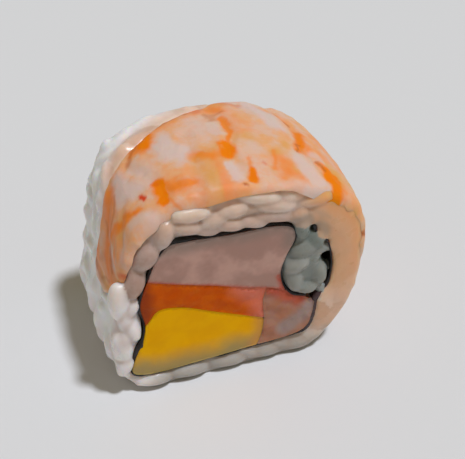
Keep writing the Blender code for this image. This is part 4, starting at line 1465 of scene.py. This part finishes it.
    def fits(self, middle: Array, frame: Array) -> bool:
        """Whether a loose grain keeps clear of the shrimp, the nori and the base.

        Args:
            middle: the grain's middle.
            frame: its half axes as rows.

        Returns:
            True where all of its ends and sides do.
        """
        half = self.section.half
        tips = np.vstack([middle + frame, middle - frame, middle[None]])
        past_face = np.abs(tips[:, 1]).max() > half + self.face_overhang
        if tips[:, 2].min() < self.base_clearance or past_face:
            return False
        flat = self.section.flat(tips)
        if np.linalg.norm((middle - np.array(self.bite_place)) / np.array(self.bite_radii)) < 1:
            return False
        gap, _ = nearest(self.section.nori, flat)
        curl = np.vstack([self.section.nori[self.section.wall_end:], self.section.core_right])
        allowed = ~within(flat, self.section.wall) | within(flat, curl)
        if not allowed.all() or gap.min() < self.nori_clearance:
            return False
        _, depth = self.section.share_of(flat)
        cover = self.shrimp.covers(flat, np.clip(tips[:, 1], -half, half))
        return bool((depth > cover - self.shrimp_overlap).all() and depth.min() > -self.side_overhang)

    def loose_grains(self) -> Grains:
        """Random grains over both faces and the bare sides, each clear of the ones before.

        Returns:
            Middles, half axes and tones, those of the placed grains first.
        """
        rng = np.random.default_rng(self.seed)
        loop, normal = self.section.outline, self.section.inward
        half = self.section.half
        placed = self.face_grains()
        centres = np.array([self.section.solid(np.array([g.x, g.z]), -half) for g in FRONT_GRAINS])
        for _ in range(self.tries):
            k = rng.integers(len(loop))
            side = Side.BACK if rng.random() < self.back_share else Side.FRONT
            on_face = rng.random() < self.face_share
            along = np.array([-normal[k][1], 0.0, normal[k][0]])
            if on_face:
                flat = loop[k] + normal[k] * rng.uniform(*self.face_inset)
                if rng.random() < self.core_share:
                    flat = np.array([rng.uniform(*self.core_across), rng.uniform(*self.core_up)])
                centre = self.section.solid(flat, side.value * half)
                out = np.array([0.0, float(side.value), 0.0])
                rise = rng.uniform(*self.face_rise)
            else:
                flat = loop[k]
                y = rng.uniform(self.side_ends[0] - half, half - self.side_ends[1])
                centre = self.section.solid(flat, y)
                out = np.array([-normal[k][0], 0.0, -normal[k][1]])
                rise = rng.uniform(*self.side_rise)
            if self.smoothness(flat[None])[0] > 0.5:
                rise = self.pressed_share * rise - self.pressed_drop
            lean, tip = rng.normal(0, self.lean), rng.normal(0, self.tip)
            size = np.array([self.grain_length * rng.uniform(*self.length_range),
                             self.grain_width * rng.uniform(*self.width_range),
                             self.grain_width * rng.uniform(*self.height_range)]) / 2
            tone = rng.uniform(0, 1)
            apart = self.spacing if on_face else self.side_spacing
            if np.linalg.norm(centres - centre, axis=1).min() < apart:
                continue
            turned = along * math.cos(lean) + np.cross(out, along) * math.sin(lean)
            axis = turned * math.cos(tip) + out * math.sin(tip)
            middle, frame = self.pose(centre, axis, out, size, rise)
            if self.fits(middle, frame):
                placed.append((middle, frame, tone))
                centres = np.vstack([centres, centre])
        return placed

    def fuse(self, grains: Grains) -> bpy.types.Object:
        """Joins core and grains into one skin by a voxel remesh, then evens it.

        Args:
            grains: middles, half axes and tones.

        Returns:
            The fused piece, with its mesh in metres.
        """
        shape, shape_faces = self.grain_shape()
        points, faces = self.core()
        for more, its_faces in [self.bundle()] + [(m + shape @ f, shape_faces) for m, f, _ in grains]:
            start = len(points)
            points = np.vstack([points, more])
            faces += [[start + k for k in face] for face in its_faces]
        piece = build_piece("rice_ring", points, faces, {})
        change = piece.modifiers.new("fuse", "REMESH")
        change.mode = "VOXEL"
        change.voxel_size = self.voxel * MM
        apply_modifiers(piece)
        self.relax(piece.data)
        triangles = sum(len(p.vertices) - 2 for p in piece.data.polygons)
        if triangles > self.limit:
            thin = piece.modifiers.new("thin", "DECIMATE")
            thin.ratio = self.limit / triangles
            apply_modifiers(piece)
        return piece

    def relax(self, mesh: bpy.types.Mesh) -> None:
        """Moves each point halfway to the mean of its neighbours, a few times over.

        Args:
            mesh: the mesh, changed in place.
        """
        points = mesh_points(mesh)
        size = len(points)
        edges = np.zeros(len(mesh.edges) * 2, dtype=np.int32)
        mesh.edges.foreach_get("vertices", edges)
        a, b = edges.reshape(-1, 2).T
        count = np.bincount(edges, minlength=size)[:, None]
        for _ in range(self.smoothings):
            total = np.zeros_like(points)
            for k in range(3):
                total[:, k] = np.bincount(a, points[b, k], size) + np.bincount(b, points[a, k], size)
            points = 0.5 * points + 0.5 * total / count
        points[:, 2] = np.maximum(points[:, 2], 0)
        mesh.vertices.foreach_set("co", points.astype(np.float32).ravel())
        mesh.update()

    def masks(self, points: Array, grains: Grains) -> dict[str, Array]:
        """Colour masks: each grain's own tone, painted shade in the seams between grains and the colour
        zones.

        Args:
            points: the skin's points in millimetres.
            grains: middles, half axes and tones.

        Returns:
            Values from 0 to 1 by mask name.
        """
        first = np.full(len(points), self.far_off)
        second = np.full(len(points), self.far_off)
        tone = np.full(len(points), self.core_tone)
        for middle, frame, own in grains:
            near = np.flatnonzero(np.abs(points - middle).max(1) < self.tone_reach)
            half = np.linalg.norm(frame, axis=1)
            local = (points[near] - middle) @ (frame / half[:, None] ** 2).T
            far = (np.linalg.norm(local, axis=1) - 1) * half.mean()
            closer = far < first[near]
            second[near] = np.where(closer, first[near], np.minimum(second[near], far))
            tone[near] = np.where(closer, own, tone[near])
            first[near] = np.where(closer, far, first[near])
        # Painted shade: strongest where two grains meet or the skin lies off the grains, weaker where
        # the rice is pressed smooth.
        seam = np.maximum(1 - ease(*self.seam_width, second - first), ease(*self.seam_gap, first))
        seam = seam * ease(*self.seam_skin, first + self.seam_lift)
        seam = seam * (1 - self.smooth_seam_loss * self.smoothness(self.section.flat(points)))
        return self.zones.masks(self.section, self.shrimp, points, tone, seam)

    def build(self, groups: SharedGroups) -> bpy.types.Object:
        """Builds the rice.

        Args:
            groups: the shared shader effects.

        Returns:
            The dressed piece.
        """
        grains = self.loose_grains()
        LOG.info("rice grains: %d", len(grains))
        piece = self.fuse(grains)
        add_masks(piece.data, self.masks(mesh_points(piece.data) / MM, grains))
        piece.data.materials.clear()
        piece.data.materials.append(self.finish.material(groups))
        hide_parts("rice")
        return piece


# The nori


@dataclass(frozen=True)
class NoriSheet:
    """The nori: a thin sheet round the fillings and curled in round the rice core."""

    section: Section
    finish: NoriFinish
    step: float = 0.35
    depth_steps: int = 34
    wave: float = 0.06
    proud: float = 0.12
    sink: float = 0.35
    thin: float = 0.12
    wave_period: float = 4.0
    proud_period: float = 2.0
    proud_power: float = 12.0
    thin_share: float = 0.35
    thin_period: float = 3.0
    # Places where the nori is made thicker, so that its dark sheet fills the shadowed gaps beside it:
    # painted shade.
    gaps: tuple[tuple[float, float, float], ...] = (
        (-10.1, 29.9, 0.42), (-8.1, 29.7, 0.2), (-1.4, 29.2, 0.25),
        (-17.9, 7.6, 0.55), (-16.9, 10.0, 0.45), (-15.9, 18.4, 0.2),
        (12.9, 11.6, 0.4), (12.5, 9.4, 0.5), (12.2, 7.4, 0.45), (11.2, 5.6, 0.25), (11.8, 26.9, 0.15),
    )
    gap_reach: float = 1.2
    brown_across: Pair = (9.0, 13.0)
    brown_top: Pair = (16.0, 12.0)
    brown_foot: Pair = (3.0, 6.0)
    brown_strength: float = 0.9

    def surface(self) -> tuple[Array, Array]:
        """The sheet on a grid: distance along its line by a lap over its two faces.

        Both faces lie half a thickness off the middle line, which wanders by a slow ripple;
        the cut edges stand slightly proud and unevenly.

        Returns:
            Points row by row, and for each its distance along the line.
        """
        line = even(self.section.nori, self.step)
        run = np.arange(len(line)) * self.step
        reach = self.section.half - self.sink
        depth = np.linspace(-reach, reach, self.depth_steps)
        lap = np.concatenate([depth, depth[::-1]])
        face = np.concatenate([np.ones(len(depth)), -np.ones(len(depth))])
        rows, y = np.meshgrid(run, lap, indexing="ij")
        places = np.stack([rows, y], -1).reshape(-1, 2)
        wander = self.wave * ripple(places, self.wave_period, seed=41).reshape(rows.shape)
        edge = np.abs(y / reach) ** self.proud_power
        shift = self.proud * ripple(places, self.proud_period, seed=43).reshape(rows.shape) * edge
        thickness = ripple(places, self.thin_period, seed=44).reshape(rows.shape)
        half = self.thin * (1 + self.thin_share * thickness)
        # Painted shade: thicker nori at the shadowed gaps.
        for x, z, extra in self.gaps:
            near = np.exp(-((np.linalg.norm(line - np.array([x, z]), axis=1) / self.gap_reach) ** 2))
            half = half + extra * near[:, None]
        along = np.gradient(line, axis=0)
        along /= np.linalg.norm(along, axis=1)[:, None]
        left = np.stack([-along[:, 1], along[:, 0]], 1)
        flat = line[:, None] + left[:, None] * (wander + half * face[None])[..., None]
        return self.section.solid(flat, y + shift).reshape(-1, 3), rows.reshape(-1)

    def build(self, groups: SharedGroups) -> bpy.types.Object:
        """Builds the nori.

        Args:
            groups: the shared shader effects.

        Returns:
            The dressed piece.
        """
        points, run = self.surface()
        lap = 2 * self.depth_steps
        rows = len(points) // lap
        faces = grid_faces(rows, lap, wrap_columns=True).tolist()
        for start in (0, (rows - 1) * lap):
            end = start + lap - 1
            cap = [[start + k, start + k + 1, end - 1 - k, end - k]
                   for k in range(self.depth_steps - 1)]
            faces += cap if start else [quad[::-1] for quad in cap]
        x, z = self.section.flat(points).T
        brown = ease(*self.brown_across, x) * ease(*self.brown_top, z) * ease(*self.brown_foot, z)
        piece = build_piece("nori_sheet", points, faces, {"brown": brown * self.brown_strength})
        piece.data.materials.append(self.finish.material(groups))
        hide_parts("nori")
        return piece


# The fillings


@dataclass(frozen=True)
class Filling:
    """One filling: a closed section carried through the slice, with softly domed cut faces."""

    name: str
    node: str
    section: Section
    loop: Array
    finish: FillingFinish
    second: "MaskRule"
    third: "MaskRule"
    dome: float = 0.25
    sink: float = 0.25
    lumps: float = 0.1
    lump_size: float = 3.0
    rim: float = 0.42
    step: float = 0.45
    depth_steps: int = 18
    seed: int = 0

    def cap(self) -> tuple[Array, list]:
        """The section filled with points on a hexagonal grid, joined by Delaunay triangles.

        Returns:
            Flat places, the loop's own points first, and triangles.
        """
        low, high = self.loop.min(0), self.loop.max(0)
        across, up = np.meshgrid(np.arange(low[0], high[0], self.step),
                                 np.arange(low[1], high[1], self.step * math.sqrt(3) / 2))
        across = across + self.step / 2 * (np.arange(len(up))[:, None] % 2)
        inner = np.stack([across.ravel(), up.ravel()], 1)
        gap, _ = nearest(np.vstack([self.loop, self.loop[:1]]), inner)
        inner = inner[within(inner, self.loop) & (gap > self.step * 0.6)]
        places = np.vstack([self.loop, inner])
        ring = list(range(len(self.loop)))
        edges = list(zip(ring, ring[1:] + ring[:1]))
        found = geometry.delaunay_2d_cdt([Vector(p) for p in places], edges, [ring], 1, 1e-6)
        return np.array([tuple(v) for v in found[0]]), [list(f) for f in found[2]]

    def surface(self) -> tuple[Array, list]:
        """Two caps and the wall between them.

        A cap bulges by the dome, falls off in a quarter circle within a rim of its edge, and
        carries low lumps.

        Returns:
            Points and faces.
        """
        places, triangles = self.cap()
        count = len(self.loop)
        gap, _ = nearest(np.vstack([self.loop, self.loop[:1]]), places)
        fall = np.sqrt(np.clip(1 - (1 - np.clip(gap / self.rim, 0, 1)) ** 2, 0, 1))
        points, faces = [], []
        for side in Side:
            seed = self.seed + 50 + side.value
            bumps = self.lumps * ripple(places, self.lump_size, seed, octaves=3)
            out = self.section.half - self.sink + (self.dome + bumps) * fall
            start = sum(len(p) for p in points)
            points.append(self.section.solid(places, side.value * out))
            faces += [[start + k for k in (t if side is Side.BACK else t[::-1])] for t in triangles]
        front, back = 0, len(places)
        base = sum(len(p) for p in points)
        walls = np.linspace(-1, 1, self.depth_steps)[1:-1] * (self.section.half - self.sink)
        points += [self.section.solid(self.loop, y) for y in walls]
        starts = [front] + [base + k * count for k in range(len(walls))] + [back]
        for a, b in zip(starts[:-1], starts[1:]):
            ring = np.arange(count)
            after = (ring + 1) % count
            faces += np.stack([a + ring, a + after, b + after, b + ring], 1).tolist()
        return np.vstack(points), faces

    def build(self, groups: SharedGroups) -> bpy.types.Object:
        """Builds the filling.

        Args:
            groups: the shared shader effects.

        Returns:
            The dressed piece.
        """
        points, faces = self.surface()
        masks = {
            "second": self.second.values(self.section, points),
            "third": self.third.values(self.section, points),
        }
        piece = build_piece(self.name, points, faces, masks)
        piece.data.materials.append(self.finish.material(groups))
        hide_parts(self.node)
        return piece


@dataclass(frozen=True)
class MaskRule:
    """A mask that falls from a line on the section: full within near of it, none beyond far."""

    keys: Keys
    near: float
    far: float
    strength: float = 1.0
    unevenness: float = 0.175
    period: float = 3.2

    def values(self, section: Section, points: Array) -> Array:
        """The mask at each point.

        Args:
            section: the slice's section.
            points: places in the slice.

        Returns:
            Values from 0 to the mask's strength.
        """
        gap, _ = nearest(np.array(self.keys, dtype=float), section.flat(points))
        uneven = self.unevenness * (self.far - self.near)
        gap = gap + uneven * ripple(points, self.period, seed=61, octaves=3)
        return self.strength * (1 - ease(self.near, self.far, gap))


@dataclass(frozen=True)
class Fillings:
    """The four fillings, split along their seams inside the nori."""

    section: Section
    reach: float = 0.13
    slack: float = 0.03
    seam_step: float = 0.3
    loop_step: float = 0.45
    curl_drop: float = 1.6

    @cached_property
    def inside(self) -> Array:
        """The nori's inner face as one line, without the points that folds bring too close."""
        line = beside(self.section.nori, -self.reach)
        gap, _ = nearest(self.section.nori, line)
        return line[gap > self.reach - self.slack]

    def seam(self, keys: Keys) -> Array:
        """The stretch of a seam that lies among the fillings.

        Args:
            keys: the seam's line, which may run past the nori at either end.

        Returns:
            Its points inside the nori.
        """
        line = curve(keys, self.seam_step)
        gap, _ = nearest(self.section.nori, line)
        held = within(line, self.section.nori[self.section.curl_meets:])
        return line[held & (gap > self.reach)]

    def meet(self, line: Array, point: Array) -> int:
        """The number of the point on a line that is closest to the given point."""
        return int(np.linalg.norm(line - point, axis=1).argmin())

    def loops(self) -> dict[str, Array]:
        """The fillings' outlines on the section: stretches of seams and of the nori, joined.

        Returns:
            A closed loop of evenly spaced points for each filling's node.
        """
        inside, crab = self.inside, self.seam(self.section.crab_seam)
        orange, pink = self.seam(self.section.orange_seam), self.seam(self.section.pink_seam)
        crab_left, crab_right = self.meet(inside, crab[0]), self.meet(inside, crab[-1])
        orange_left, pink_low = self.meet(inside, orange[0]), self.meet(inside, pink[-1])
        crab_pink, orange_pink = self.meet(crab, pink[0]), len(orange) - 1
        pink_orange = self.meet(pink, orange[-1])
        curl_end = self.section.curl_keys[-1][1] - self.curl_drop
        low_wall = int(np.argmax(inside[:, 1] < curl_end))
        sides = {
            "crab_stick": [inside[crab_left:crab_right], crab[::-1]],
            "salmon_slice": [crab[:crab_pink], pink[:pink_orange], orange[:orange_pink][::-1],
                             inside[orange_left:crab_left]],
            "pickled_radish": [orange[:orange_pink], pink[pink_orange:], inside[pink_low:orange_left]],
            "crab_meat": [pink[::-1], crab[crab_pink:], inside[crab_right:], inside[low_wall:pink_low]],
        }
        made = {}
        for name, parts in sides.items():
            loop = np.vstack(parts)
            made[name] = even(np.vstack([loop, loop[:1]]), self.loop_step)[:-1]
        return made

    def pieces(self) -> list[Filling]:
        """The four fillings with their finishes and colour rules."""
        loops = self.loops()
        soft = MoistSurface(
            roughness=0.45, wet_roughness=0.3, specular=0.35, coat=0.08, subsurface=0.6, spread=1.5,
            tint=(1.0, 0.5, 0.4), lump_scale=330.0, fine_scale=1500.0, fine_share=0.35, relief=0.05)
        wet = MoistSurface(
            roughness=0.42, wet_roughness=0.26, specular=0.08, coat=0.0, subsurface=0.4, spread=1.0,
            tint=(1.0, 0.3, 0.06), lump_scale=420.0, fine_scale=1500.0, fine_share=0.4, relief=0.12)
        smooth = MoistSurface(
            roughness=0.45, wet_roughness=0.3, specular=0.05, coat=0.0, subsurface=0.4, spread=1.0,
            tint=(1.0, 0.7, 0.05), lump_scale=260.0, fine_scale=1300.0, fine_share=0.3, relief=0.05)
        return [
            # Crab stick: its third colour, greyer along its top under the rice, is painted shade.
            Filling("crab_stick_block", "crab_stick", self.section, loops["crab_stick"],
                    FillingFinish("crab_stick", hue(178, 138, 125), hue(182, 70, 44),
                                  hue(140, 124, 114), hue(218, 174, 160), soft,
                                  Mottle(190.0, 0.4, 0.65, 0.6)),
                    MaskRule(((-15.4, 23.8), (-9.6, 21.5), (-4.2, 19.6), (0.6, 17.7),
                              (4.6, 16.4), (7.0, 15.5), (6.1, 18.6)), 0.12, 0.75, 0.95),
                    # Painted shade along the top, under the overhanging rice.
                    MaskRule(((-12.0, 29.8), (-1.6, 29.6), (7.8, 28.6), (8.2, 25.6)), 0.4, 3.0, 0.7),
                    dome=0.12, lumps=0.05, lump_size=5.0, seed=1),
            Filling("salmon_layer", "salmon_slice", self.section, loops["salmon_slice"],
                    FillingFinish("deep_orange_fish", hue(208, 86, 0), hue(154, 64, 26),
                                  hue(222, 122, 98), hue(226, 116, 14), wet,
                                  Mottle(420.0, 0.4, 0.65, 0.35)),
                    MaskRule(((-16.5, 22.5), (-15.9, 17.0), (-16.8, 13.0)), 0.8, 3.2, 0.9),
                    MaskRule(((1.6, 18.2), (4.6, 15.0), (4.6, 10.0)), 1.0, 4.6, 0.95),
                    dome=0.1, sink=0.3, lumps=0.14, lump_size=2.2, rim=0.22, seed=2),
            Filling("pickled_radish_block", "pickled_radish", self.section, loops["pickled_radish"],
                    FillingFinish("yellow_pickle", hue(250, 183, 0), hue(176, 152, 98),
                                  hue(214, 150, 78), hue(236, 160, 0), smooth,
                                  Mottle(300.0, 0.4, 0.65, 0.35)),
                    MaskRule(((-18.0, 4.6), (-14.6, 4.2), (-6.9, 3.4), (3.2, 3.4)), 0.8, 5.4, 1.0),
                    MaskRule(((4.2, 10.6), (4.2, 7.0), (3.0, 3.6)), 0.5, 3.2, 0.8),
                    dome=0.1, sink=0.3, lumps=0.06, lump_size=4.0, rim=0.22, seed=3),
            Filling("crab_meat_lump", "crab_meat", self.section, loops["crab_meat"],
                    FillingFinish("pink_flesh", hue(182, 124, 98), hue(188, 78, 56),
                                  hue(168, 146, 140), hue(176, 134, 118), wet,
                                  Mottle(380.0, 0.4, 0.65, 0.6)),
                    MaskRule(((4.6, 16.4), (7.2, 14.6), (9.8, 12.6)), 0.3, 2.3, 0.8),
                    MaskRule(((7.6, 7.0), (10.2, 8.6), (11.4, 10.4)), 0.6, 2.4, 0.9),
                    dome=0.15, sink=0.3, lumps=0.22, lump_size=2.4, rim=0.3, seed=4),
        ]


# Camera, floor and lights


@dataclass(frozen=True)
class Studio:
    """The pale floor, the soft light from above and the camera at the photograph's angle."""

    target: tuple[float, float, float] = (2.914, 0.236, 19.48)
    azimuth: float = -19.2
    elevation: float = 40.5
    distance: float = 155.0
    lens: float = 74.4
    floor_half: float = 1500.0
    floor_colour: Colour = hue(225, 226, 229)
    key_from: tuple[float, float, float] = (0.27, -0.24, 1.0)
    key_spread: float = 6.0
    key_strength: float = 2.09
    key_colour: Colour = (1.0, 1.03, 1.1)
    sky: float = 0.238
    sky_colour: Colour = (1.0, 0.9, 0.65)

    def camera(self) -> None:
        """Places the camera on its line of sight and makes it the scene's own."""
        turn, tilt = math.radians(self.azimuth), math.radians(self.elevation)
        level = math.cos(tilt)
        back = Vector((math.sin(turn) * level, -math.cos(turn) * level, math.sin(tilt)))
        data = bpy.data.cameras.new("camera")
        data.lens = self.lens
        data.clip_start, data.clip_end = 0.005, 20.0
        camera = bpy.data.objects.new("camera", data)
        camera.location = (Vector(self.target) + back * self.distance) * MM
        camera.rotation_mode = "QUATERNION"
        camera.rotation_quaternion = (-back).to_track_quat("-Z", "Y")
        bpy.context.scene.collection.objects.link(camera)
        bpy.context.scene.camera = camera

    def floor(self) -> None:
        """Adds a wide plain sheet under the slice, marked as stage."""
        corners = np.array([(-1, -1, 0), (1, -1, 0), (1, 1, 0), (-1, 1, 0)]) * self.floor_half
        mesh = bpy.data.meshes.new("floor")
        mesh.from_pydata((corners * MM).tolist(), [], [(0, 1, 2, 3)])
        floor = bpy.data.objects.new("floor", mesh)
        bpy.context.scene.collection.objects.link(floor)
        graph = blank_material("pale_floor")
        shader = graph.add("BsdfPrincipled", {"Base Color": (*self.floor_colour, 1.0), "Roughness": 0.7,
                                              "Specular IOR Level": 0.2})
        graph.feed(graph.add("OutputMaterial"), "Surface", shader.outputs["BSDF"])
        mesh.materials.append(material_of(graph))
        floor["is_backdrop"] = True

    def lights(self) -> None:
        """An even warm sky and one soft far lamp, high on the right and to the front."""
        world = bpy.data.worlds.new("studio")
        world.use_nodes = True
        world.node_tree.nodes["Background"].inputs["Color"].default_value = (*self.sky_colour, 1.0)
        world.node_tree.nodes["Background"].inputs["Strength"].default_value = self.sky
        bpy.context.scene.world = world
        data = bpy.data.lights.new("key", "SUN")
        data.energy = self.key_strength
        data.angle = math.radians(self.key_spread)
        data.color = self.key_colour
        lamp = bpy.data.objects.new("key", data)
        lamp.location = Vector(self.key_from)
        lamp.rotation_mode = "QUATERNION"
        lamp.rotation_quaternion = (-Vector(self.key_from)).to_track_quat("-Z", "Y")
        bpy.context.scene.collection.objects.link(lamp)

    def build(self) -> None:
        """Sets up the whole studio."""
        self.camera()
        self.floor()
        self.lights()
        bpy.context.scene.view_settings.view_transform = "Standard"


# Assembly


def settle(pieces: list[bpy.types.Object], section: Section) -> None:
    """Moves every new piece by what the solids were moved when they were centred.

    Args:
        pieces: the new pieces, which are built about the section's own origin.
        section: the slice's section.
    """
    low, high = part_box("nori")
    half = section.nori_thickness / 2
    line = even(section.nori, NORI_PANEL)
    bands = np.vstack([beside(line, half), beside(line, -half)])
    y = np.zeros(len(bands))
    width = section.solid(bands, y)[:, 0]
    centre = (low[0] + high[0]) / 2 - (width.min() + width.max()) / 2 * MM
    depth = (low[1] + high[1]) / 2
    shift = np.array([centre, depth, 0.0])
    LOG.info("pieces moved by %s mm", np.round(shift / MM, 3))
    for piece in pieces:
        points = mesh_points(piece.data) + shift
        piece.data.vertices.foreach_set("co", points.astype(np.float32).ravel())
        piece.data.update()


def box_of(bounds: tuple[Vector, Vector]) -> list[list[float]]:
    """A pair of corners as plain lists."""
    return [[float(v) for v in corner] for corner in bounds]


def main(cad_box: list[list[float]]) -> None:
    """Builds every piece in order.
    """
    section = Section()
    groups = SharedGroups.build()
    shrimp = ShrimpTopping(section, ShrimpFinish())
    makers = [RiceRing(section, shrimp, RiceFinish()), NoriSheet(section, NoriFinish()), shrimp]
    makers += Fillings(section).pieces()
    pieces = []
    for maker in makers:
        piece = maker.build(groups)
        pieces.append(piece)
        mesh = piece.data
        LOG.info("%s: %d points, %d faces", piece.name, len(mesh.vertices), len(mesh.polygons))
    settle(pieces, section)
    for piece in pieces:
        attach(piece, "root")
    Studio().build()


if __name__ == "__main__":
    logging.basicConfig(level=logging.INFO)
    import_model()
    main(box_of(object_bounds()))
